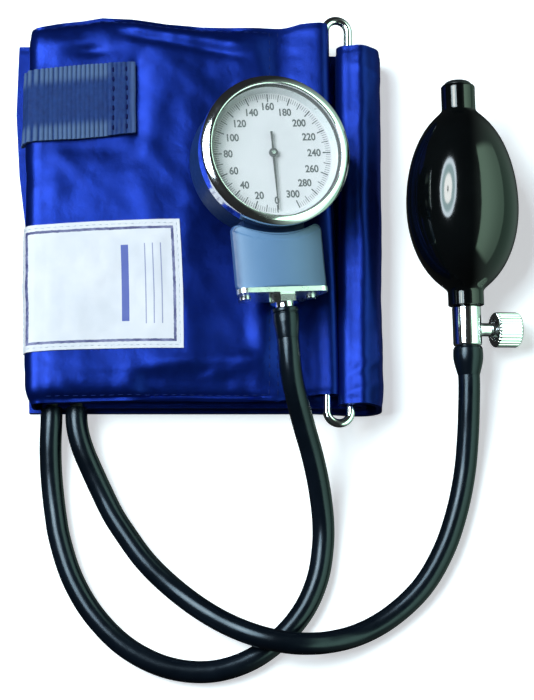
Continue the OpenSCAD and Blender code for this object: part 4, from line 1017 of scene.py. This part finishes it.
# the bag stays slack under the cloth's hollows
si = np.clip(np.interp(sb, S, np.arange(len(S))).astype(int), 0, len(S) - 1)
vi = np.clip(np.interp(vb / 73.0, rows, np.arange(len(rows))).round().astype(int), 0, len(rows) - 1)
sag = np.minimum(D[np.ix_(si, vi)], 0)
h_top = np.minimum(hb, np.maximum((bh - 1.9)[:, None] + sag, 0.15) * (hb > 0))
mid = np.stack([bx[:, None] + 0 * vv_, vv_, bz[:, None] + 0 * vv_], axis=2)
nb = np.stack([bnx[:, None] + 0 * vv_, 0 * vv_, bnz[:, None] + 0 * vv_], axis=2)
nn, mm_ = mid.shape[:2]
bv = np.vstack([(mid + nb * h_top[..., None]).reshape(-1, 3), (mid - nb * hb[..., None]).reshape(-1, 3)]) * MM
ix = np.arange(nn * mm_).reshape(nn, mm_)
a_, b_, c_, d_ = ix[:-1, :-1].ravel(), ix[1:, :-1].ravel(), ix[1:, 1:].ravel(), ix[:-1, 1:].ravel()
bf = np.vstack([np.column_stack([a_, b_, c_, d_]), np.column_stack([a_, d_, c_, b_]) + nn * mm_])
bladder = add("rubber_bladder", bv, bf, "bladder", "cuff_set", "bladder")
bmb = bmesh.new()
bmb.from_mesh(bladder.data)
bmesh.ops.remove_doubles(bmb, verts=bmb.verts, dist=1e-6)
bmesh.ops.recalc_face_normals(bmb, faces=bmb.faces)
bmb.to_mesh(bladder.data)
bmb.free()

# ---------------------------------------------------------------- closure ring
dB = np.array([BAR2[0] - BAR1[0], BAR2[1] - BAR1[1]])
w_ring = float(np.linalg.norm(dB))
L_ring = 161.5 - w_ring - 3.2
ex_ = np.array([dB[0], 0, dB[1]]) / w_ring
rp = []
for t in np.linspace(-L_ring / 2, L_ring / 2, 120):
    rp.append((0.0, t))
for a in np.linspace(180, 0, 25)[1:-1]:
    rp.append((w_ring / 2 + w_ring / 2 * math.cos(math.radians(a)), L_ring / 2 + w_ring / 2 * math.sin(math.radians(a))))
for t in np.linspace(L_ring / 2, -L_ring / 2, 120):
    rp.append((w_ring, t))
for a in np.linspace(0, -180, 25)[1:-1]:
    rp.append((w_ring / 2 + w_ring / 2 * math.cos(math.radians(a)), -L_ring / 2 + w_ring / 2 * math.sin(math.radians(a))))
rp = np.array(rp)
P = np.array([BAR1[0], -1.5, BAR1[1]]) + rp[:, :1] * ex_ + rp[:, 1:] * np.array([0, 1.0, 0])
T = np.roll(P, -1, 0) - np.roll(P, 1, 0)
T /= np.linalg.norm(T, axis=1, keepdims=True)
up = np.cross(ex_, np.array([0, 1.0, 0]))
up /= np.linalg.norm(up)
B = np.cross(T, up)
rv, rf = [], []
SD = 28
for i in range(len(P)):
    for k in range(SD):
        a = 2 * math.pi * k / SD
        rv.append((P[i] + 1.59 * (math.cos(a) * B[i] + math.sin(a) * up)) * MM)
for i in range(len(P)):
    i2 = (i + 1) % len(P)
    for k in range(SD):
        k2 = (k + 1) % SD
        rf.append((i * SD + k, i * SD + k2, i2 * SD + k2, i2 * SD + k))
ring_o = add("closure_ring_wire", rv, rf, "chrome", "ring", "closure_ring")
fix_normals(ring_o)

# ---------------------------------------------------------------- gauge
BEZ = [(26.5, -4), (27.0, -4), (27.3, -3.6), (27.3, 2.0), (27.9, 2.1), (28.3, 2.6), (28.3, 4.1), (28.15, 4.7), (27.5, 5.25), (26.5, 5.95), (25.6, 6.3), (25.0, 6.35), (24.75, 6.1), (24.75, 5.05), (25.9, 5.05), (25.9, 2.95), (26.5, 2.95)]
lathe("bezel_ring", rounded(BEZ, [0.1, 0.2, 0.3, 0.3, 0.2, 0.3, 0.6, 0.3, 0.9, 0.9, 0.6, 0.25, 0.2, 0.05, 0.05, 0.05, 0.05], 6), GAUGE, "chrome", "cuff_set", "bezel", n=256, sharp=40)
CUP = [(0, -21)] + [(23.2 + 3.2 * math.cos(math.radians(a)), -17.8 + 3.2 * math.sin(math.radians(a))) for a in range(-90, 1, 9)] + [(26.4, 2.9), (24.7, 2.9), (24.7, -0.5), (24.0, -0.5), (24.0, -19.4), (0, -19.4)]
# the cup is drawn in the darker copy of the case's plastic, as painted shade
lathe("gauge_cup", CUP, GAUGE, "slate_painted_shade", "cuff_set", "gauge_case", n=192)


def neck():
    """Neck block: hollow upper edge under the bezel, crowned face, sides that draw in."""
    w, y0, y1, rc = 17.5, -50.0, -26.0, 2.4
    pts = []
    for a in np.linspace(-90, 0, 9):
        pts.append((w - 1.6 + 1.6 * math.cos(math.radians(a)), y0 + 1.6 + 1.6 * math.sin(math.radians(a))))
    for y in np.linspace(y0 + 3, y1 - 3.2, 14):
        pts.append((w, y))
    for a in np.linspace(0, 78, 12):
        pts.append((w - rc + rc * math.cos(math.radians(a)), y1 - rc + rc * math.sin(math.radians(a))))
    for x in np.linspace(14.2, -14.2, 45):
        pts.append((x, -math.sqrt(29.8 ** 2 - x * x)))
    for a in np.linspace(102, 180, 12):
        pts.append((-w + rc + rc * math.cos(math.radians(a)), y1 - rc + rc * math.sin(math.radians(a))))
    for y in np.linspace(y1 - 3.2, y0 + 3, 14):
        pts.append((-w, y))
    for a in np.linspace(180, 270, 9):
        pts.append((-w + 1.6 + 1.6 * math.cos(math.radians(a)), y0 + 1.6 + 1.6 * math.sin(math.radians(a))))
    for x in np.linspace(-w + 2.4, w - 2.4, 40):
        pts.append((x, y0))
    pts = np.array(pts)
    c = np.array([0, -39.5])
    rad = np.linalg.norm(pts - c, axis=1, keepdims=True)
    crown = lambda x: -36 + np.sqrt(36.6 ** 2 - x * x)
    rings = []

    def taper(xy, z):
        k = 1 - np.clip((-4 - z) / 16, 0, 1) * 5.2 / 17.5
        return np.column_stack([xy[:, 0] * k, xy[:, 1]])

    fil = 0.9
    # back, closed, then side wall, then the fillet and the face
    for q in (0.05, 0.35, 0.65, 0.85):
        xy = c + (pts - c) * q
        rings.append((taper(xy, np.full(len(xy), -19.3)), np.full(len(xy), -19.3)))
    for a in np.linspace(0, 90, 6):
        d = 2.0 * (1 - math.sin(math.radians(a)))
        z = -19.3 + 2.0 * (1 - math.cos(math.radians(a)))
        xy = c + (pts - c) * (1 - d / rad)
        rings.append((taper(xy, np.full(len(xy), z)), np.full(len(xy), z)))
    top = crown(pts[:, 0]) - fil
    for t in np.linspace(0.1, 1, 16):
        z = -17.3 + (top + 17.3) * t
        rings.append((taper(pts, z), z))
    for a in np.linspace(10, 90, 9):
        d = fil * (1 - math.cos(math.radians(a)))
        xy = c + (pts - c) * (1 - d / rad)
        rings.append((xy, crown(xy[:, 0]) - fil * (1 - math.sin(math.radians(a)))))
    for q in np.concatenate([np.linspace(0.99, 0.7, 14), np.linspace(0.62, 0.02, 10)]):
        xy = c + (pts - c) * (1 - fil / rad) * q
        # the raised pad starts a little way below the bezel's edge
        dd = np.hypot(xy[:, 0], xy[:, 1]) - 29.8
        z = crown(xy[:, 0]) - 0.32 * (1 - step(dd, 2.5, 3.1))
        rings.append((xy, z))
    verts, faces = [], []
    n = len(pts)
    for xy, z in rings:
        z = z + 0 * xy[:, 0]
        for (x, y), zz in zip(xy, z):
            verts.append(GAUGE @ Vector((x * MM, y * MM, float(zz) * MM)))
    for i in range(len(rings) - 1):
        for k in range(n):
            k2 = (k + 1) % n
            faces.append((i * n + k, i * n + k2, (i + 1) * n + k2, (i + 1) * n + k))
    faces.append(tuple(reversed(range(n))))
    faces.append(tuple((len(rings) - 1) * n + k for k in range(n)))
    flat = [(x * MM, y * MM) for xy, z in rings for x, y in xy]
    o = add("gauge_neck", verts, faces, "neck", "cuff_set", "gauge_case", uvs=flat, sharp=30)
    fix_normals(o)
    return o


neck()
# root under the bezel, between the neck block and the cup, drawn in the darker copy of the plastic as painted shade
rt = rounded([(-12, -34.5), (12, -34.5), (12, -19), (-12, -19)], 2, 5)
rvz = []
for z in (-18.4, -17.4, -7.2, -6.2):
    k = 0.95 if z in (-18.4, -6.2) else 1.0
    rvz.append([GAUGE @ Vector((q[0] * k * MM, (-26.7 + (q[1] + 26.7) * k) * MM, z * MM)) for q in rt])
nv_ = len(rt)
rfz = [(i * nv_ + k, i * nv_ + (k + 1) % nv_, (i + 1) * nv_ + (k + 1) % nv_, (i + 1) * nv_ + k) for i in range(3) for k in range(nv_)]
rfz += [tuple(reversed(range(nv_))), tuple(3 * nv_ + k for k in range(nv_))]
fix_normals(add("neck_root", [q for r_ in rvz for q in r_], rfz, "slate_painted_shade", "cuff_set", "gauge_case"))

lathe("dial_reflector", rounded([(22.9, 0.03), (24.55, 0.03), (24.55, 2.86), (24.3, 2.86)], 0.1, 3), GAUGE, "dial_ring", "cuff_set", "dial_ring", n=256,
      shape=lambda r, s, a: 0.05 * math.cos(128 * a) if r < 24.4 else 0)

# printed scale: plain ticks and numbers
pv, pf = [], []


def bar(r0, r1, w, ang, z=0.015, h=0.03):
    ca, sa = math.cos(ang), math.sin(ang)
    base = len(pv)
    for zz in (z, z + h):
        for r, t in ((r0, -w / 2), (r1, -w / 2), (r1, w / 2), (r0, w / 2)):
            pv.append((r * ca - t * sa, r * sa + t * ca, zz))
    for f in ((0, 3, 2, 1), (4, 5, 6, 7), (0, 1, 5, 4), (1, 2, 6, 5), (2, 3, 7, 6), (3, 0, 4, 7)):
        pf.append(tuple(base + k for k in f))


for val in range(0, 301, 2):
    ang = math.radians(-90 - 22.5 * val / 20)
    if val % 20 == 0:
        bar(19.4, 22.4, 0.46, ang)
    elif val % 10 == 0:
        bar(19.7, 22.4, 0.32, ang)
    else:
        bar(20.6, 22.4, 0.16, ang)
for val in range(0, 301, 20):
    ang = math.radians(-90 - 22.5 * val / 20)
    cu = bpy.data.curves.new("n", "FONT")
    cu.body = str(val)
    cu.size = 3.75
    cu.align_x = "CENTER"
    cu.align_y = "CENTER"
    cu.extrude = 0.015
    cu.offset = 0.115
    cu.resolution_u = 6
    to = bpy.data.objects.new("n", cu)
    scene.collection.objects.link(to)
    bpy.context.view_layer.update()
    me = bpy.data.meshes.new_from_object(to.evaluated_get(bpy.context.evaluated_depsgraph_get()))
    w_ = {1: 1.9, 2: 3.9, 3: 5.8}[len(str(val))]
    rc = 18.95 - abs(math.cos(ang)) * w_ / 2 - abs(math.sin(ang)) * 1.2
    cx, cy = rc * math.cos(ang), rc * math.sin(ang)
    base = len(pv)
    ys_ = [q.co.y for q in me.vertices]
    xs_ = [q.co.x for q in me.vertices]
    ox, oy = 0.5 * (min(xs_) + max(xs_)), 0.5 * (min(ys_) + max(ys_))
    for q in me.vertices:
        pv.append((cx + (q.co.x - ox) * 0.92, cy + q.co.y - oy, 0.03 + q.co.z))
    for f in me.polygons:
        pf.append(tuple(base + k for k in f.vertices))
    bpy.data.objects.remove(to)
    bpy.data.meshes.remove(me)
    bpy.data.curves.remove(cu)
add("dial_print", [GAUGE @ Vector([c * MM for c in q]) for q in pv], pf, "ink", "cuff_set", sharp=30)

# ---------------------------------------------------------------- bulb and valve
BULB_Y, VALVE_Y = BULB @ ALONG_Y, VALVE @ ALONG_Y


def egg(s, r, lu, ld):
    q = s / (lu if s > 0 else ld)
    return r * math.sqrt(max(0, 1 - q * q))


def blend_max(a, b):
    return (a ** 4.6 + b ** 4.6) ** (1 / 4.6)


out_p = [(blend_max(6.4 if s > 0 else 6.7, egg(s, 21, 37, 32.5)) - 0.15 * step(s, 0, 0.001) * 0, s) for s in np.linspace(-37.3, 45.3, 150)]
out_p = [(6.2, -37.6)] + out_p + [(5.9, 46.05), (5.4, 46.2), (4.4, 46.2)]
in_p = [(blend_max(4.2, egg(s, 18.4, 33.8, 29.3)), s) for s in np.linspace(45.9, -37.6, 90)]
lathe("bulb_rubber", out_p + in_p, BULB_Y, "bulb", "cuff_set", "bulb", n=192)
lathe("intake_body", rounded([(3.0, 34.6), (4.15, 34.6), (4.15, 46.25), (5.2, 46.25), (5.0, 46.8), (4.2, 47.4), (3.0, 47.9), (1.2, 48.1), (1.2, 43), (3.0, 43)], 0.25, 5), BULB_Y, "black", "cuff_set", "intake_valve_body", n=96)
VB = [(0, -63.4), (2.3, -63.4), (3.0, -61.2), (2.5, -61), (3.0, -58.7), (2.5, -58.5), (3.0, -56.2), (2.5, -56), (2.5, -52.6), (4.9, -52.6), (5.4, -52.1), (5.4, -38.2), (4.9, -37.7), (4.15, -37.7), (4.15, -28.4), (3.8, -28), (2.6, -28), (2.6, -42), (1.3, -42), (1.3, -63.39)]
VB = VB[1:]
lathe("valve_barrel", rounded(VB, [0.2, 0.2, 0.2, 0.2, 0.2, 0.2, 0.2, 0.2, 0.1, 0.5, 0.5, 0.6, 0.4, 0.1, 0.2, 0.2, 0.1, 0.1, 0.1, 0.1], 5), VALVE_Y, "chrome", "cuff_set", "valve_body", n=128)
AT_V = VALVE @ Matrix.Translation((0, -46.5 * MM, 0)) @ ALONG_X
lathe("valve_boss", rounded([(1.65, 3.5), (2.9, 3.5), (2.5, 5.6), (2.5, 9.9), (1.65, 9.9)], [0.05, 0.1, 0.8, 0.35, 0.1], 5), AT_V, "chrome", "cuff_set", "valve_body", n=72)
KN = VALVE @ Matrix.Translation((10.8 * MM, -46.5 * MM, 0)) @ ALONG_X
kp = rounded([(1.3, 1.6), (4.3, 1.6), (4.3, 0), (6.1, 0), (6.6, 0.5), (6.6, 9.0), (5.9, 9.7), (2.4, 9.7), (2.4, 7.4), (1.3, 7.4)], [0.1, 0.3, 0.2, 0.2, 0.25, 0.35, 0.3, 0.3, 0.1, 0.1], 5)
rim = [q for q in kp]
kp2 = []
for i, q in enumerate(kp):
    kp2.append(q)
    nx_ = kp[(i + 1) % len(kp)]
    if q[0] > 6.5 and nx_[0] > 6.5 and abs(nx_[1] - q[1]) > 2:
        for t in np.linspace(0, 1, 9)[1:-1]:
            kp2.append(q + (nx_ - q) * t)
lathe("knurled_knob", kp2, KN, "chrome", "knob", "release_knob", n=28 * 12,
      shape=lambda r, s, a: (-0.40 * (0.5 + 0.5 * math.cos(28 * a)) ** 2.5 if r > 5.6 else 0.0))
HG = GAUGE @ Matrix.Translation((1.5 * MM, 0, -7 * MM)) @ rot(90, "X")
he_g = lathe("hose_cuff_gauge", rounded([(3.0, 56.6), (4.7, 56.6), (5.1, 57.0), (5.1, 58.2), (4.7, 58.6), (4.95, 59.2), (4.9, 62), (4.5, 65), (4.1, 68), (2.65, 68), (2.65, 57.4)], 0.3, 5), HG, "hose", "cuff_set", "hose_end_gauge", n=96)
HB = VALVE @ rot(90, "X")
he_b = lathe("hose_cuff_bulb", rounded([(3.05, 52.8), (5.0, 52.8), (5.5, 53.6), (5.65, 56), (5.5, 58.2), (4.9, 60.8), (4.1, 63.6), (3.05, 63.6)], [0.1, 0.4, 0.8, 1.2, 1.2, 1.5, 0.1, 0.1], 5), HB, "hose", "cuff_set", "hose_end_bulb", n=96)

# small machined pieces get broken edges
for node, width in [("end_plate", 0.25), ("gauge_nipple", 0.2), ("end_plate_screws", 0.12), ("pointer", 0.05), ("knob_screw", 0.1), ("rear_clip", 0.12)]:
    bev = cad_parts[node].modifiers.new("edges", "BEVEL")
    bev.width = width * MM
    bev.segments = 2
    bev.limit_method = "ANGLE"
    bev.angle_limit = math.radians(40)

# ---------------------------------------------------------------- hoses take their material and join the cuff set
for o, route, length, node, end in [(hose_g, ROUTE_GAUGE, len_g, "hose_gauge", "hose_end_gauge"), (hose_b, ROUTE_BULB, len_b, "hose_bulb", "hose_end_bulb")]:
    o.data.materials.append(MATS["hose"])
    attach(o, "cuff_set")
    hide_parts(node)

# ---------------------------------------------------------------- light and floor
def area(name, size, power, pos, aim, color=(1, 1, 1), shape="DISK", size_y=None):
    l = bpy.data.lights.new(name, "AREA")
    l.shape = shape
    l.size = size
    if size_y:
        l.size_y = size_y
    l.energy = power
    l.color = color
    o = bpy.data.objects.new(name, l)
    o.location = pos
    o.rotation_euler = (Vector(aim) - Vector(pos)).to_track_quat("-Z", "Y").to_euler()
    scene.collection.objects.link(o)
    return o


CENTRE = (0.03, -0.02, 0.02)


def toward(ax, ay, dist):
    """A place seen from the scene at ax degrees to the right of upright and ay towards the far side."""
    v = Vector((math.tan(math.radians(ax)), math.tan(math.radians(ay)), 1)).normalized()
    return tuple(Vector(CENTRE) + v * dist)


def glow(light, stops):
    """Radiance of an area light by distance from its middle, 0 to 1."""
    light.data.use_nodes = True
    t = light.data.node_tree
    t.nodes.clear()
    out = t.nodes.new("ShaderNodeOutputLight")
    em = t.nodes.new("ShaderNodeEmission")
    geo = t.nodes.new("ShaderNodeNewGeometry")
    sub = t.nodes.new("ShaderNodeVectorMath")
    sub.operation = "DISTANCE"
    sub.inputs[1].default_value = (0.5, 0.5, 0)
    t.links.new(geo.outputs["Parametric"], sub.inputs[0])
    r = t.nodes.new("ShaderNodeMath")
    r.operation = "MULTIPLY"
    r.inputs[1].default_value = 2
    t.links.new(sub.outputs["Value"], r.inputs[0])
    ramp = t.nodes.new("ShaderNodeValToRGB")
    e = ramp.color_ramp.elements
    while len(e) < len(stops):
        e.new(0.5)
    for el, (p, c) in zip(e, stops):
        el.position = p
        el.color = (*c, 1)
    t.links.new(r.outputs[0], ramp.inputs[0])
    t.links.new(ramp.outputs[0], em.inputs["Color"])
    em.inputs["Strength"].default_value = 1.0
    t.links.new(em.outputs[0], out.inputs[0])


def unit_power(w, h, disc=True):
    """Power at which an area light of this size has a radiance of 1."""
    return math.pi * w * h * (math.pi / 4 if disc else 1)


key = area("key", 1.02, unit_power(1.02, 0.74) * 22.6, toward(-29, 10, 1.2), CENTRE, (1, 1, 1), "ELLIPSE", 0.74)
glow(key, [(0.0, (0.05, 0.06, 0.06)), (0.07, (0.05, 0.06, 0.06)), (0.11, (0.86, 0.90, 0.89)), (0.42, (0.86, 0.90, 0.89)), (0.52, (0.24, 0.35, 0.36)), (0.76, (0.26, 0.37, 0.39)), (0.84, (0.62, 0.73, 0.79)), (1.0, (0.58, 0.68, 0.76))])
side = area("side", 2.8, unit_power(2.8, 1.25, False) * 2.7, toward(63, -4, 1.3), CENTRE, (0.62, 1.0, 0.74), "RECTANGLE", 1.25)
side.visible_diffuse = False
side.data.use_nodes = True
t = side.data.node_tree
t.nodes.clear()
sout = t.nodes.new("ShaderNodeOutputLight")
sem = t.nodes.new("ShaderNodeEmission")
sgeo = t.nodes.new("ShaderNodeNewGeometry")
ssep = t.nodes.new("ShaderNodeSeparateXYZ")
t.links.new(sgeo.outputs["Parametric"], ssep.inputs[0])


def light_map(v, a, b, c, d):
    n = t.nodes.new("ShaderNodeMapRange")
    n.interpolation_type = "SMOOTHSTEP"
    t.links.new(v, n.inputs["Value"])
    for key_, val in zip(("From Min", "From Max", "To Min", "To Max"), (a, b, c, d)):
        n.inputs[key_].default_value = val
    return n.outputs[0]


def light_mul(a, b):
    n = t.nodes.new("ShaderNodeMath")
    n.operation = "MULTIPLY"
    t.links.new(a, n.inputs[0])
    t.links.new(b, n.inputs[1])
    return n.outputs[0]


ends = light_mul(light_map(ssep.outputs[0], 0.0, 0.12, 0, 1), light_map(ssep.outputs[0], 0.88, 1.0, 1, 0))
t.links.new(light_mul(ends, light_map(ssep.outputs[1], 0.0, 1.0, 0.35, 1.15)), sem.inputs["Strength"])
t.links.new(sem.outputs[0], sout.inputs[0])

world = bpy.data.worlds.new("studio")
scene.world = world
world.use_nodes = True
wt = world.node_tree
wt.nodes.clear()
wo = wt.nodes.new("ShaderNodeOutputWorld")
bg = wt.nodes.new("ShaderNodeBackground")
lp = wt.nodes.new("ShaderNodeLightPath")
mx = wt.nodes.new("ShaderNodeMix")
mx.data_type = "FLOAT"
mx.inputs[3].default_value = 0.92
mg = wt.nodes.new("ShaderNodeMix")
mg.data_type = "FLOAT"
mg.inputs[2].default_value = 0.075
mg.inputs[3].default_value = 0.022
wt.links.new(lp.outputs["Is Glossy Ray"], mg.inputs[0])
wd = wt.nodes.new("ShaderNodeTexCoord")
ws = wt.nodes.new("ShaderNodeSeparateXYZ")
wt.links.new(wd.outputs["Generated"], ws.inputs[0])
wa = wt.nodes.new("ShaderNodeMapRange")
wa.interpolation_type = "SMOOTHSTEP"
wt.links.new(ws.outputs[0], wa.inputs["Value"])
wa.inputs["From Min"].default_value = 0.25
wa.inputs["From Max"].default_value = 0.9
wa.inputs["To Min"].default_value = 0.022
wa.inputs["To Max"].default_value = 0.62
wt.links.new(wa.outputs[0], mg.inputs[3])
wt.links.new(mg.outputs[0], mx.inputs[2])
wc = wt.nodes.new("ShaderNodeMix")
wc.data_type = "RGBA"
wc.inputs[6].default_value = (0.93, 0.96, 1.0, 1)
wc.inputs[7].default_value = (0.55, 1.0, 0.76, 1)
wf = wt.nodes.new("ShaderNodeMath")
wf.operation = "MULTIPLY"
wt.links.new(lp.outputs["Is Glossy Ray"], wf.inputs[0])
wt.links.new(ws.outputs[0], wf.inputs[1])
wf.use_clamp = True
wt.links.new(wf.outputs[0], wc.inputs[0])
wt.links.new(wc.outputs[2], bg.inputs["Color"])
wt.links.new(lp.outputs["Is Camera Ray"], mx.inputs[0])
wt.links.new(mx.outputs[0], bg.inputs["Strength"])
wt.links.new(bg.outputs[0], wo.inputs["Surface"])

fm = Mat("floor_paper", (0.80, 0.81, 0.81), 0.8)
fm.set("Specular IOR Level", 0.1)
fm.set("Emission Color", (0.95, 0.97, 1.0, 1))
fm.set("Emission Strength", 0.56)
fme = bpy.data.meshes.new("floor")
fme.from_pydata([(-4, -4, 0), (4, -4, 0), (4, 4, 0), (-4, 4, 0)], [], [(0, 1, 2, 3)])
fme.materials.append(fm.m)
floor = bpy.data.objects.new("floor", fme)
scene.collection.objects.link(floor)
floor.visible_glossy = False
floor.visible_diffuse = False

scene.view_settings.view_transform = "Standard"
scene.view_settings.look = "None"
scene.view_settings.exposure = 0.0
